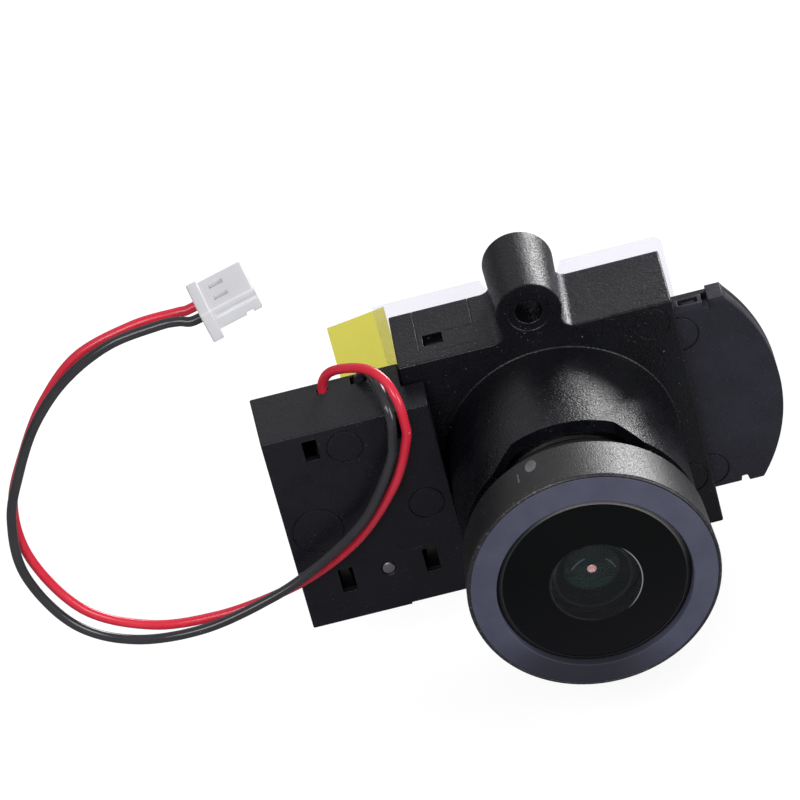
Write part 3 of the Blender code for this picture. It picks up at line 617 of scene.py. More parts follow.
def edge_ink():
    """Ground edge of the front glass, painted black, lightened to grey at its upper right as a
    painted highlight.
    """
    mat = LensFinish("glass_edge_ink")
    fine = mat.noise(scale=9.0, rough=0.6)
    # painted highlight: the edge turns grey towards the upper right, where the light falls
    wear_and_highlight = mat.times(mat.ramp(mat.toward(62), span=(0.35, 0.97)),
                       mat.ramp(fine, span=(0.30, 0.60), to=(0.6, 1.0)))
    mat.set({"Base Color": mat.mix(wear_and_highlight, under=(0.034, 0.033, 0.034), over=(0.22, 0.21, 0.20)),
             "Roughness": mat.ramp(fine, span=(0.25, 0.75), to=(0.36, 0.48)),
             "Normal": mat.bump(fine, depth=0.005)})
    return mat.material


def winding():
    """Copper wire in bands across X."""
    mat = Finish("coil_copper")
    bands = mat.add("TexWave", {"Scale": 4.2, "Distortion": 0.4, "Vector": mat.coords},
                    wave_type="BANDS", bands_direction="X").outputs["Fac"]
    mat.set({"Base Color": mat.mix(bands, under=(0.25, 0.06, 0.02), over=(0.62, 0.22, 0.08)),
             "Metallic": 0.85, "Roughness": 0.3, "Normal": mat.bump(bands, depth=0.05)})
    return mat.material


def insulation(name, base, light, rough):
    """Soft PVC: slight drift in colour and a little dust."""
    mat = Finish(name)
    drift = mat.noise(scale=0.45)
    fine = mat.noise(scale=9.0, rough=0.6)
    col = mat.mix(mat.ramp(drift, span=(0.3, 0.7)), base, light)
    dust = mat.specks(scale=1.1, spot=(0.10, 0.05), patches=0.9, detail=1.0, region=(0.56, 0.6))
    mat.set({"Base Color": mat.mix(dust, col, over=(0.75, 0.6, 0.62), amount=0.5),
             "Roughness": mat.ramp(fine, span=(0.3, 0.7), to=(rough - 0.02, rough + 0.03)),
             "Specular IOR Level": 0.6, "Normal": mat.bump(drift, depth=0.004)})
    return mat.material


def nylon():
    mat = Finish("white_nylon")
    fine = mat.noise(scale=7.0, rough=0.6)
    drift = mat.ramp(mat.noise(scale=0.7), span=(0.3, 0.7))
    mat.set({"Base Color": mat.mix(drift, under=(0.975, 0.97, 0.99), over=(0.99, 0.985, 0.995)),
             "Roughness": mat.ramp(fine, span=(0.3, 0.7), to=(0.38, 0.5)),
             "Subsurface Weight": 0.35, "Subsurface Radius": (1.0, 0.9, 0.85),
             "Subsurface Scale": 0.0006,
             "Normal": mat.bump(fine, depth=0.003, normal=mat.round_normal(0.06))})
    return mat.material


def film_finish(name, base, through, opacity, rough):
    """Thin plastic sheet: lets light through, softly scattered."""
    mat = Finish(name)
    fine = mat.noise(scale=3.0, rough=0.5)
    wave = mat.noise(scale=0.25, detail=2.0, rough=0.5)
    dim = tuple(c * 0.965 for c in base)
    mat.set({"Base Color": mat.mix(mat.ramp(wave, span=(0.35, 0.65)), dim, base),
             "Roughness": mat.ramp(fine, span=(0.3, 0.7), to=(rough - 0.05, rough + 0.05)),
             "Normal": mat.bump(wave, depth=0.02)})
    scatter = mat.add("BsdfTranslucent", {"Color": base}).outputs[0]
    clear = mat.add("BsdfTransparent", {"Color": through}).outputs[0]
    sheet_body = mat.add("MixShader", {0: 0.5, 1: mat.principled, 2: scatter}).outputs[0]
    mat.show(mat.add("MixShader", {0: opacity, 1: clear, 2: sheet_body}).outputs[0])
    return mat.material


FINISH = {
    "block": moulded("moulded_black", base=(0.0033, 0.0035, 0.0056), rough=0.33, depth=0.0230,
                     dust=0.34, cloud=0.3),
    "fine": moulded("moulded_black_fine", base=(0.0084, 0.0083, 0.0125), rough=0.36,
                    depth=0.0150, spec=0.40, dust=0.16, cloud=0.25),
    # a lighter copy of the moulded black: painted light for the housing's front, which catches the
    # light from the right
    "cover": moulded("moulded_black_lit_copy", base=(0.0180, 0.0182, 0.0270), rough=0.36,
                     depth=0.0150, dust=0.14, cloud=0.25),
    "head": anodised(),
    "ring": ring_finish(),
    "glass": front_glass_finish(),
    "inner_glass": inner_glass_finish(),
    # glass tinted near-black: painted shade for the dark depth of the lens
    "deep_glass": glass("deep_glass", tint=(0.010, 0.018, 0.015), spec=0.0),
    "rear_glass": glass("rear_coated_glass", tint=(0.70, 0.86, 0.82), spec=0.3),
    "ir_glass": glass("ir_cut_glass", tint=(0.45, 0.80, 0.85), spec=0.4),
    "clear": glass("clear_glass", tint=(0.93, 0.97, 0.96), spec=0.4),
    "ink": simple("blackened_metal", base=(0.0010, 0.0012, 0.0012), rough=0.80, grain=9.0,
                  depth=0.0005, spec=0.02),
    "edge_ink": edge_ink(),
    "yoke": simple("yoke_steel", base=(0.13, 0.125, 0.12), rough=0.45, metallic=1.0, grain=4.0,
                   depth=0.002, vary=0.15, stretch=(1.0, 9.0, 1.0)),
    "pin": simple("pin_steel", base=(0.36, 0.33, 0.34), rough=0.38, metallic=1.0, grain=7.0),
    "magnet": simple("magnet_grey", base=(0.10, 0.10, 0.10), rough=0.42, metallic=0.6,
                     grain=6.0, depth=0.006),
    "natural": simple("natural_plastic", base=(0.72, 0.70, 0.63), rough=0.45, grain=7.0,
                      depth=0.002),
    "bobbin": simple("bobbin_black", base=(0.012, 0.011, 0.010), rough=0.5, grain=7.0),
    "tin": simple("tinned_metal", base=(0.66, 0.64, 0.58), rough=0.3, metallic=1.0, grain=6.0,
                  depth=0.002),
    "rubber": simple("ring_rubber", base=(0.012, 0.012, 0.012), rough=0.6, depth=0.004,
                     spec=0.35),
    "paint": simple("grey_paint", base=(0.20, 0.20, 0.215), rough=0.5, grain=9.0, depth=0.008,
                    spec=0.4, vary=0.35),
    "copper": winding(),
    "red": insulation("red_insulation", base=(0.96, 0.032, 0.066), light=(0.99, 0.046, 0.088),
                      rough=0.24),
    "black_wire": insulation("black_insulation", base=(0.040, 0.039, 0.043),
                             light=(0.050, 0.048, 0.053), rough=0.17),
    "nylon": nylon(),
    "film": film_finish("protective_film", base=(0.95, 0.95, 1.0), through=(0.972, 0.968, 1.0),
                        opacity=0.15, rough=0.28),
    "tab": film_finish("yellow_film", base=(0.90, 0.86, 0.34), through=(0.83, 0.80, 0.33),
                       opacity=0.20, rough=0.3),
}


# ------------------------------------------------------------- block + sleeve
def boss_outline(radius, side):
    """A round boss with a fillet at each side where it leaves the block."""
    fillet = 0.75
    overlap = 1.2       # how far the outline reaches into the block
    reach, drop = radius + fillet, BOSS_Z - (BLOCK_Z + fillet)
    foot = sqrt(reach ** 2 - drop ** 2)
    meet = degrees(atan2(-drop, foot))
    points = [(foot + 0.02, BLOCK_Z - overlap)]
    points += arc(foot, BLOCK_Z + fillet, fillet, 270, 180 + meet, 14)
    points += arc(0.0, BOSS_Z, radius, meet, 180 - meet, 56)[1:-1]
    points += arc(-foot, BLOCK_Z + fillet, fillet, -meet, -90, 14)
    points += [(-foot - 0.02, BLOCK_Z - overlap)]
    return [(x, side * z) for x, z in points]


def sleeve_tube():
    """The tapering sleeve with a rounded foot, and a notch in the top of its front edge."""
    foot_radius, foot_round, back = 7.99, 0.14, -5.2
    front, front_radius, inside = -16.54, 7.85, 5.2
    foot = [(foot_radius - foot_round * sin(radians(a)),
             BLOCK_FRONT - foot_round + foot_round * cos(radians(a)))
            for a in (15, 30, 45, 60, 75, 90)]
    sleeve = turned([(inside, back), (foot_radius, back), (foot_radius, BLOCK_FRONT)] + foot
                    + [(front_radius, front), (inside, front)], 192)
    # the notch widens to the front and is cut past the edge
    notch_x, notch_back, notch_front = 0.25, -15.10, -17.4
    half_back, half_at_edge = 3.38, 4.99
    slope = (half_at_edge - half_back) / (notch_back - front)
    half_front = half_back + slope * (notch_back - notch_front)
    notch = standing([(notch_x - half_front, notch_front), (notch_x + half_front, notch_front),
                      (notch_x + half_back, notch_back), (notch_x - half_back, notch_back)],
                     3.0, 9.5)
    bore = turned([(0, -18.5), (6.95, -18.5), (6.95, -12.8), (6.05, -12.2), (6.05, -3.0),
                   (0, -3.0)], 160)
    cut(sleeve, bore)
    cut(sleeve, notch)
    soften(sleeve, width=0.07, segments=2, angle=40)
    return sleeve


# (radius, y) of the stepped hole through each boss, front to back
BOSS_HOLE = [(0, -7.2), (1.46, -7.2), (1.46, BLOCK_FRONT + 0.05), (1.42, BLOCK_FRONT + 0.09),
             (0.93, BLOCK_FRONT + 0.11), (0.89, BLOCK_FRONT + 0.15), (0.88, BLOCK_FRONT + 0.25),
             (0.88, -0.25), (0.98, -0.12), (0.98, 1.0), (0, 1.0)]
# x, y and z of the fine lines in the top of the block
PARTING_LINES = [((-7.71, -7.64), (-4.95, 1.0), (9.12, 9.6)),
                 ((-3.88, -3.81), (-3.1, 1.0), (9.12, 9.6)),
                 ((-6.9, -3.9), (-5.33, -5.27), (9.14, 9.6)),
                 ((-5.9, -3.4), (-3.25, -3.19), (9.15, 9.6))]


def mount_body():
    block = box((-BLOCK_X, BLOCK_X), (BLOCK_FRONT, 0.0), (-BLOCK_Z, BLOCK_Z), 0.13, 3)
    bosses = [prism(boss_outline(2.20, side), BLOCK_FRONT, 0.0, boss_outline(2.39, side), 0.10)
              for side in (1, -1)]
    join(block, *bosses)
    join(block, sleeve_tube())
    # channel for the housing, then the lens bore
    cut(block, box((-11, 11), (-4.9, 1.0), (-7.55, 7.55)))
    cut(block, turned([(0, -7.0), (6.035, -7.0), (6.035, -4.2), (0, -4.2)], 160))
    for side in (1, -1):
        cut(block, turned(BOSS_HOLE, 72, (0.0, side * BOSS_Z)))
        cut(block, box((-7.35, -6.0), (-4.5, -3.22), sorted((side * 7.0, side * 10.5)), 0.06))
    # pocket in the left wall
    cut(block, box((-10.5, -8.55), (-5.85, -4.5), (-0.4, 2.4), 0.05))
    cut(block, *[box(*line) for line in PARTING_LINES])
    # ejector marks
    cut(block, groove(7.71, 7.77, 1.16, BLOCK_FRONT))
    cut(block, groove(7.8, -5.05, 1.16, BLOCK_FRONT))
    place(block, "mount_block", "block", "mount", "moulded_black", ["mount_body"])


mount_body()


# --------------------------------------------------------------- housing
def round_end(half_height):
    """The housing's right end, from -half_height to half_height in z."""
    top = degrees(asin(half_height / END_RADIUS))
    return arc(END_X, 0.0, END_RADIUS, -top, top, 72)


# x, z down the left of each outline, from the upper right corner to the lower right one
COVER_LEFT = [(11.72, 7.5), (11.72, 7.0), (9.50, 7.0), (9.50, 7.42), (-9.32, 7.42), (-9.32, 5.2),
              (-18.70, 5.2), (-18.70, -7.05), (-9.32, -7.05), (-9.32, -7.42), (11.17, -7.42),
              (11.25, -7.05), (11.62, -7.05), (11.71, -7.5)]
HOLLOW_LEFT = [(11.9, 6.4), (9.0, 6.2), (-9.0, 6.2), (-9.0, 8.5), (-20.0, 8.5), (-20.0, -8.5),
               (-9.0, -8.5), (-9.0, -6.2), (9.0, -6.2), (11.9, -6.4)]
BASE_LEFT = [(9.2, 7.35), (9.2, 7.45), (-9.2, 7.45), (-9.2, 7.3), (-19.1, 7.3), (-19.1, -7.3),
             (-9.2, -7.3), (-9.2, -7.45), (9.2, -7.45), (9.2, -7.35)]
# x, z of the raised block beside the latch
LATCH_BLOCK = [(11.68, 6.85), (12.93, 6.85), (12.86, 7.30), (12.71, 7.62), (11.68, 7.62)]


def icr_cover():
    cover = prism(round_end(7.5) + COVER_LEFT, COVER_FRONT, -3.62, edge=0.07)
    hollow = arc(END_X, 0.0, 11.75, -30, 30, 40) + HOLLOW_LEFT
    cut(cover, prism(hollow, -4.34, -3.0))
    through = (-6.0, -3.9)
    cut(cover, prism(rounded(*WINDOW), *through))
    # curved slot above the pivot
    swing, half_slot = 6.4, 0.72
    half_angle = degrees(asin(3.8 / swing)) + 7.5
    cut(cover, prism(arc(*PIVOT, swing + half_slot, 90 - half_angle, 90 + half_angle, 24)
                     + arc(*PIVOT, swing - half_slot, 90 + half_angle, 90 - half_angle, 24),
                     *through))
    cut(cover, turned([(0, -6.0), (0.48, -6.0), (0.48, -3.9), (0, -3.9)], 24, PIVOT))
    cut(cover, groove(9.3, 5.43, 1.3, COVER_FRONT, 0.102, 0.085),
        groove(9.3, -5.85, 1.2, COVER_FRONT, 0.102, 0.085))
    # latch loop round a hook
    latch = standing([(9.40, -4.82), (11.28, -4.82), (11.28, -3.68), (9.40, -3.68)],
                     6.7, 7.46, 0.05)
    cut(latch, box((9.66, 11.02), (-4.54, -3.96), (7.0, 8.0), 0.04))
    join(latch, box((9.88, 10.80), (-4.32, -4.20), (6.8, 7.38), 0.03))
    join(cover, latch, prism(LATCH_BLOCK, -4.89, -3.12, edge=0.05))
    place(cover, "housing_front", "cover", "mount", "moulded_black_fine", ["icr_cover"])


def icr_base():
    base = prism(round_end(7.35) + BASE_LEFT, -3.58, -3.08, edge=0.06)
    # walled frame behind the plate
    join(base, prism(rounded((-9.15, 9.15), (-7.38, 7.38), 0.3, 3), -3.3, -0.08, edge=0.06))
    cut(base, prism(rounded((-7.0, 7.0), (-6.3, 6.3), 0.5, 4), -3.08, 1.0))
    cut(base, prism(rounded(*WINDOW), -5.0, -2.0))
    for side in (1, -1):
        join(base, box((-7.27, -6.08), (-3.52, -3.26), sorted((side * 7.0, side * 8.6)), 0.05))
    # upright grooves and two ring marks in the rear face
    for x in (10.6, 12.4):
        cut(base, box((x - 0.25, x + 0.25), (-3.18, -2.9), (-4.0, 4.0), 0.05))
    for z in (4.9, -4.9):
        cut(base, turned([(0.85, -3.0), (0.95, -3.0), (0.93, -3.13), (0.87, -3.13)], 48,
                         (-14.6, z)))
    place(base, "housing_rear", "fine", "mount", "moulded_black_fine", ["icr_base"])


icr_cover()
icr_base()


# ------------------------------------------------------------- solenoid box
# x, z, radius, depth of the circular lines in the front face
CASE_RINGS = [(-13.93, 6.18, 1.2, 0.085), (-17.14, 0.1, 1.72, 0.085), (-9.66, 0.23, 1.18, 0.102)]
# x, z, radius, depth, half width, start and end degrees of the faint arcs beside them
CASE_ARCS = [(-11.95, 3.65, 1.05, 0.0425, 0.0595, 165, 330),
             (-11.3, -1.9, 1.25, 0.034, 0.0595, 190, 330),
             (-10.2, 1.9, 0.75, 0.034, 0.051, 60, 200)]


def case_outline(inset, step, back):
    """The case seen from above: x, y, with a step in its right side at y = step."""
    left, right = -19.26 + inset, -7.90 - inset
    front = CASE_FRONT + inset
    return [(left, front), (right, front), (right, step), (-9.38 - inset, step),
            (-9.38 - inset, back), (left - 0.28, back)]


def solenoid_box():
    case = standing(case_outline(0.0, -6.40, -3.62), -7.6, 7.86, 0.11, 3)
    cut(case, standing(case_outline(0.5, -6.90, -2.62), -7.1, 7.36))
    # the lower edge steps up a little right of the corner
    cut(case, box((-12.4, -6.0), (-11.0, -2.0), (-8.5, -7.42), 0.04))
    # slots in the front face
    for x in ((-16.65, -15.65), (-10.85, -9.87)):
        cut(case, box(x, (-10.5, -8.5), (5.73, 7.3), 0.06),
            box(x, (-10.5, -8.5), (-5.30, -3.40), 0.06))
    cut(case, turned([(0, -10.5), (0.62, -10.5), (0.62, -9.30), (0.50, -9.22), (0.50, -8.0),
                      (0, -8.0)], 40, PIVOT))
    # slots in the left wall
    for z in ((4.4, 6.9), (-6.9, -4.5)):
        cut(case, box((-20.5, -18.4), (-7.9, -6.6), z, 0.05))
    # clearance in the right wall
    cut(case, box((-10.4, -9.0), (-4.92, -3.0), (-7.1, 7.1)))
    cut(case, box((-10.5, -9.1), (-5.86, -4.0), (-1.7, 3.1)))
    # holes in the top for the two leads
    cut(case, rod(0.42, (-14.62, -4.64, 6.8), (-14.62, -4.64, 8.4)),
        box((-12.70, -11.57), (-4.80, -3.90), (6.8, 8.4), 0.05))
    for x, z, radius, depth in CASE_RINGS:
        cut(case, groove(x, z, radius, CASE_FRONT, depth))
    for x, z, radius, *rest in CASE_ARCS:
        cut(case, arc_groove(x, z, radius, CASE_FRONT, *rest))
    place(case, "solenoid_case", "fine", "mount", "moulded_black_fine", ["solenoid_cover"])


def pivot_pin():
    radius, shoulder, rise = 0.45, -9.21, 0.12
    dome = [(radius * sin(radians(a)), shoulder - rise * cos(radians(a)))
            for a in (15, 30, 45, 60, 75, 90)]
    pin = turned([(0, shoulder - rise)] + dome + [(radius, -4.38), (0, -4.38)], 48, PIVOT)
    place(pin, "pin", "pin", "mount", "pin_steel", ["pivot_pin"])


solenoid_box()
pivot_pin()


# --------------------------------------------------------------------- lens
def head_radius(y):
    """Radius of the head, which widens to the front."""
    return HEAD_BACK_RADIUS + ((HEAD_FRONT_RADIUS - HEAD_BACK_RADIUS)
                               * (HEAD_BACK_Y - y) / (HEAD_BACK_Y - HEAD_FRONT_Y))


# (radius, y) from the thread to the head's back edge, then round its front rim to the bore
COLLAR = [(6.10, -17.29), (6.60, -17.30), (6.60, -17.78), (6.66, -17.84), (7.93, -17.84),
          (8.04, -17.87)]
RIM_AND_BORE = [(8.322, -22.03), (8.24, -22.115), (8.215, -22.13), (8.15, -22.13),
                (8.12, -22.11), (8.12, -21.72), (6.65, -21.72), (6.65, -19.84), (4.00, -19.84),
                (4.00, -7.55), (4.95, -7.55)]


def lens_barrel():
    pitch, crest, thread_depth = 0.5, 5.95, 0.28
    back, thread_back, thread_front, shoulder = -6.00, -6.02, -17.28, -17.30
    head_steps = 26
    profile = [(4.95, back), (5.60, back)]
    first = len(profile)
    rows = round((thread_back - shoulder) / (pitch / 8))
    profile += [(crest, thread_back - (thread_back - thread_front) * i / rows)
                for i in range(rows + 1)]
    last = len(profile)
    profile += COLLAR
    for i in range(head_steps + 1):
        y = HEAD_BACK_Y + (HEAD_FRONT_Y - HEAD_BACK_Y) * i / head_steps
        profile.append((head_radius(y), y))
    profile += RIM_AND_BORE

    def threaded(radius, y, angle, i):
        """Winds the thread into the shank, fading at its ends, and narrows the shank's back."""
        if not first <= i < last:
            return radius
        phase = (y / pitch + angle / (2 * pi)) % 1.0
        wave = abs(2 * phase - 1)
        depth = thread_depth * min(1.0, max(0.0, (wave - 0.12) / 0.76))
        fade = min(1.0, (back - y) / 0.35, max(0.0, (y - shoulder) / 0.12))
        return radius - depth * fade - (1 - min(1.0, (back - y) / 0.3)) * 0.3

    place(turned(profile, 168, shaped=threaded), "lens_barrel_body", "head", "lens",
          "anodised_black", ["lens_barrel"], smooth=30, weighted=False)


def front_ring():
    profile = [(6.43, -21.80), (8.10, -21.80), (8.10, -22.11), (8.07, -22.14), (6.54, -22.44),
               (6.49, -22.445), (6.45, -22.42), (6.43, -22.37)]
    place(turned(profile, 192), "lens_front_ring", "ring", "lens", "ring_blue_grey",
          ["front_ring"], smooth=30)


def cap(y, rise, radius, steps):
    """A spherical face from its edge at y to the axis at y + rise."""
    ball = (radius ** 2 + rise ** 2) / (2 * abs(rise))
    sign = 1 if rise > 0 else -1
    points = []
    for i in range(steps + 1):
        reach = radius * (1 - i / steps)
        points.append((reach, y + rise - sign * (ball - sqrt(ball ** 2 - reach * reach))))
    return points


BARREL_FIT = 3.95       # radius of the pieces that sit in the barrel


def element(front, rear):
    """A lens element; front and rear give each face's edge y, rise and radius."""
    return (cap(*front, 22)[::-1] + [(BARREL_FIT, front[0]), (BARREL_FIT, rear[0])]
            + cap(*rear, 22))


# name, CAD node, slot, finish, (radius, y) profile
INNER_PIECES = [
    ("second_glass", "second_element", "coated_glass", "inner_glass",
     element(front=(-19.75, -0.35, 3.4), rear=(-18.40, -0.90, 2.7))),
    ("third_glass", "third_element", "coated_glass", "deep_glass",
     element(front=(-16.40, -0.20, 2.9), rear=(-14.60, 0.35, 3.5))),
    ("spacer", "spacer_ring", "blackened_metal", "ink",
     [(3.0, -18.30), (BARREL_FIT, -18.30), (BARREL_FIT, -16.70), (3.0, -16.70)]),
    ("stop_plate", "aperture_stop", "blackened_metal", "ink",
     [(1.1, -14.15), (BARREL_FIT, -14.15), (BARREL_FIT, -13.95), (1.3, -13.95)]),
    ("rear_glass", "rear_element", "coated_glass", "rear_glass",
     element(front=(-9.60, -0.10, 3.1), rear=(-7.95, 0.25, 3.3))),
    ("retainer", "rear_retainer", "blackened_metal", "ink",
     [(3.2, -7.45), (4.90, -7.45), (4.90, -6.20), (4.85, -6.15), (3.66, -6.15), (3.6, -6.20)])]


def front_glass():
    """Front element: domed face, ground bevel, blackened edge, hollow rear face."""
    dome_radius, hollow_radius = 6.02, 3.6
    profile = cap(-22.12, -0.26, dome_radius, 26)[::-1]
    profile += [(6.30, -21.90), (6.33, -21.70), (6.58, -21.66), (6.58, -19.92)]
    profile += cap(-19.92, -1.45, hollow_radius, 26)
    piece = place(turned(profile, 128), "front_glass", ("glass", "edge_ink", "ink"), "lens",
                  "coated_glass", ["front_element"], smooth=50, weighted=False)
    for face in piece.data.polygons:
        centre = face.center * 1000.0
        radius = hypot(centre.x, centre.z - AXIS_Z * 1000.0)
        if dome_radius < radius and centre.y < -21.5:
            face.material_index = 1
        elif radius > 6.2 or (radius > hollow_radius and centre.y > -20.0):
            face.material_index = 2


def friction_ring():
    profile = [(6.345 + 0.355 * cos(radians(a)), -15.60 + 0.35 * sin(radians(a)))
               for a in range(0, 360, 20)]
    place(turned(profile, 128), "grip_ring", "rubber", "focus_carriage", "ring_rubber",
          ["friction_ring"], smooth=60, weighted=False)


def paint_patch(name, outline, middle_y, middle_angle):
    """A thin film of paint on the head's side; the outline is (arc length, y) off its middle."""
    loops = []
    for lift in (0.012, -0.03):
        loop = []
        for along, rise in outline:
            radius = head_radius(middle_y + rise) + lift
            angle = middle_angle + along / radius
            loop.append((radius * cos(angle), middle_y + rise, radius * sin(angle)))
        loops.append(loop)
    place(bridge(*loops), name, "paint", "lens", "anodised_black", smooth=40, weighted=False)


def paint_marks():
    dot = []
    for i in range(18):
        across, along = cos(i * 0.35), sin(i * 0.35)
        wobble = 1 + 0.09 * noise.noise(Vector((across * 2.1, along * 2.1, 0.7)))
        dot.append((0.40 * wobble * across, 0.66 * along))
    paint_patch("paint_dot", dot, -19.02, atan2(7.75, -2.18))
    tick = [(-0.05, -0.55), (0.02, -0.56), (0.05, 0.0), (0.06, 0.50), (0.0, 0.54), (-0.04, 0.1)]
    paint_patch("paint_tick", tick, -19.60, atan2(7.42, -3.10))


lens_barrel()
front_ring()
front_glass()
for name, node, slot, finish, profile in INNER_PIECES:
    place(turned(profile), name, finish, "lens", slot, [node], smooth=40, weighted=False)
friction_ring()
paint_marks()


# -------------------------------------------------------------------- wires
def spline(points, steps=18):
    """A smooth curve through all points."""
    knots = [Vector(point) for point in points]
    knots = [knots[0] * 2 - knots[1]] + knots + [knots[-1] * 2 - knots[-2]]
    path = []
    for before, here, after, beyond in zip(knots, knots[1:], knots[2:], knots[3:]):
        for k in range(steps):
            t = k / steps
            path.append(0.5 * (2 * here + (after - before) * t
                               + (2 * before - 5 * here + 4 * after - beyond) * t ** 2
                               + (3 * here - before - 3 * after + beyond) * t ** 3))
    return path + [knots[-2]]


def tube(path, radius=0.33, steps=20):
    """A round, slightly uneven tube swept along a path with a steady frame and closed ends."""
    shape = bmesh.new()
    tangents = [(path[min(len(path) - 1, i + 1)] - path[max(0, i - 1)]).normalized()
                for i in range(len(path))]
    side = tangents[0].cross(Vector((0, 1, 0))).normalized()
    rings = []
    for point, tangent in zip(path, tangents):
        side = (side - tangent * side.dot(tangent)).normalized()
        up = tangent.cross(side)
        reach = radius * (1 + 0.012 * noise.noise(point * 0.9))
        rings.append([shape.verts.new(point + side * (reach * cos(2 * pi * k / steps))
                                      + up * (reach * sin(2 * pi * k / steps)))
                      for k in range(steps)])
    for one, two in zip(rings, rings[1:]):
        for k in range(steps):
            j = (k + 1) % steps
            shape.faces.new((one[k], one[j], two[j], two[k]))
    shape.faces.new(rings[0][::-1])
    shape.faces.new(rings[-1])
    return solid(shape)


# The plug's own frame: x from the wire end to the far end, y across the two ways
PLUG_AT = Vector((-20.62, -10.20, 19.83))
PLUG_X = Vector((0.972, 0.157, 0.174)).normalized()
PLUG_Z = Vector((-0.152, -0.139, 0.979))
PLUG_Z = (PLUG_Z - PLUG_X * PLUG_Z.dot(PLUG_X)).normalized()
PLUG_Y = PLUG_Z.cross(PLUG_X)
PLUG = Matrix.Translation(PLUG_AT) @ Matrix((PLUG_X, PLUG_Y, PLUG_Z)).transposed().to_4x4()
WAY_Y = 0.625       # each way's distance from the plug's middle


def into_plug(y):
    """The last two points of a lead, inside the plug."""
    return [tuple(PLUG @ Vector((x, y, 0))) for x in (-0.6, 0.9)]


# x, y, z of each lead from the case to the plug
RED_PATH = [
    (-14.62, -4.64, 6.15), (-14.62, -4.64, 7.60), (-14.40, -4.75, 8.60), (-13.70, -5.20, 9.50),
    (-12.35, -6.30, 10.15), (-11.15, -7.40, 10.35), (-10.25, -8.60, 10.00), (-9.78, -9.60, 9.05),
    (-9.68, -9.90, 7.40), (-9.90, -9.95, 5.90), (-11.40, -9.90, 2.70), (-14.40, -9.82, -0.70),
    (-17.85, -9.82, -2.75), (-21.30, -9.82, -3.80), (-25.35, -9.82, -4.25),
    (-29.65, -9.82, -3.65), (-33.65, -9.82, -1.10), (-35.95, -9.82, 3.80),
    (-36.00, -9.82, 8.35), (-34.10, -9.82, 12.50), (-31.85, -9.80, 15.90),
    (-28.95, -9.80, 18.55), (-25.00, -9.75, 19.70), (-22.00, -9.65, 19.78)] + into_plug(WAY_Y)
BLACK_PATH = [
    (-12.15, -4.36, 6.15), (-12.15, -4.36, 7.70), (-11.50, -5.10, 8.75), (-10.98, -6.70, 9.15),
    (-10.76, -8.05, 9.30), (-10.56, -9.55, 8.85), (-10.50, -10.20, 7.80), (-10.75, -10.30, 6.40),
    (-11.20, -10.30, 4.90), (-13.00, -10.40, 2.00), (-14.80, -10.45, 0.15),
    (-18.10, -10.55, -1.95), (-21.35, -10.62, -3.35), (-26.25, -10.64, -4.45),
    (-30.95, -10.64, -3.90), (-34.50, -10.64, -1.45), (-36.55, -10.64, 3.30),
    (-36.30, -10.64, 7.75), (-34.90, -10.64, 11.20), (-32.90, -10.64, 14.65),
    (-30.15, -10.64, 17.45), (-26.80, -10.64, 19.25), (-23.40, -10.68, 19.80),
    (-22.00, -10.72, 19.78)] + into_plug(-WAY_Y)

red_lead = place(tube(spline(RED_PATH)), "lead_red", "red", "mount", "red_insulation",
                 ["red_wire"], smooth=60, weighted=False)
# the bright wire would tint the glossy sleeve beside it
red_lead.visible_glossy = False
place(tube(spline(BLACK_PATH)), "lead_black", "black_wire", "mount", "black_insulation",
      ["black_wire"], smooth=60, weighted=False)


def plug():
    """Body with a collar at the wire end, drawn in the plug's own frame."""
    body = box((0.55, 3.87), (-1.60, 1.60), (-0.90, 0.90), 0.12, 3)
    join(body, box((0.0, 0.75), (-1.75, 1.75), (-1.55, 0.98), 0.10, 3))
    for y in (-WAY_Y, WAY_Y):
        cut(body, box((-0.5, 3.4), (y - 0.42, y + 0.42), (-0.42, 0.42), 0.1))
        cut(body, box((3.2, 4.5), (y - 0.28, y + 0.28), (-0.28, 0.28)))
        cut(body, box((1.3, 2.3), (y - 0.22, y + 0.22), (0.3, 1.5), 0.05))
    cut(body, box((0.9, 4.5), (-1.9, -1.40), (0.02, 0.45), 0.05))
    cut(body, box((2.75, 3.25), (-1.9, -1.2), (-1.2, -0.62), 0.05))
    body.data.transform(PLUG)
    place(body, "plug", "nylon", "mount", "white_nylon", ["plug_housing"])


plug()


# --------------------------------------------------------------------- film
def sheet(outline, y, thickness, wave, name, finish, slot, node, cell=0.5):
    """A thin sheet cut to an x-z outline, with a soft wave, on a fine grid."""
    shape = bmesh.new()
    shape.faces.new([shape.verts.new((x, 0.0, z)) for x, z in outline])
    for axis, places in zip((Vector((1, 0, 0)), Vector((0, 0, 1))), zip(*outline)):
        low, high = min(places), max(places)
        line = ceil(low / cell) * cell
        while line < high - 0.05:
            if line > low + 0.05:
                bmesh.ops.bisect_plane(shape, geom=shape.verts[:] + shape.edges[:] + shape.faces[:],
                                       dist=1e-5, plane_co=axis * line, plane_no=axis)
            line += cell
    for vert in shape.verts:
        vert.co.y = y + wave(vert.co.x, vert.co.z)
    piece = solid(shape)
    mod = piece.modifiers.new("solid", "SOLIDIFY")
    mod.thickness = thickness
    mod.offset = 0.0
    bake(piece)
    place(piece, name, finish, "film", slot, [node], smooth=40, weighted=False)


def cover_wave(x, z):
    return 0.012 * sin(x * 0.55 + z * 0.35) + 0.10 * max(0.0, (abs(z) - 8.6) / 1.55) ** 2


def tab_wave(x, z):
    return 0.02 * sin(z * 0.5) + 0.09 * max(0.0, (-x - 10.2) / 3.2) ** 2


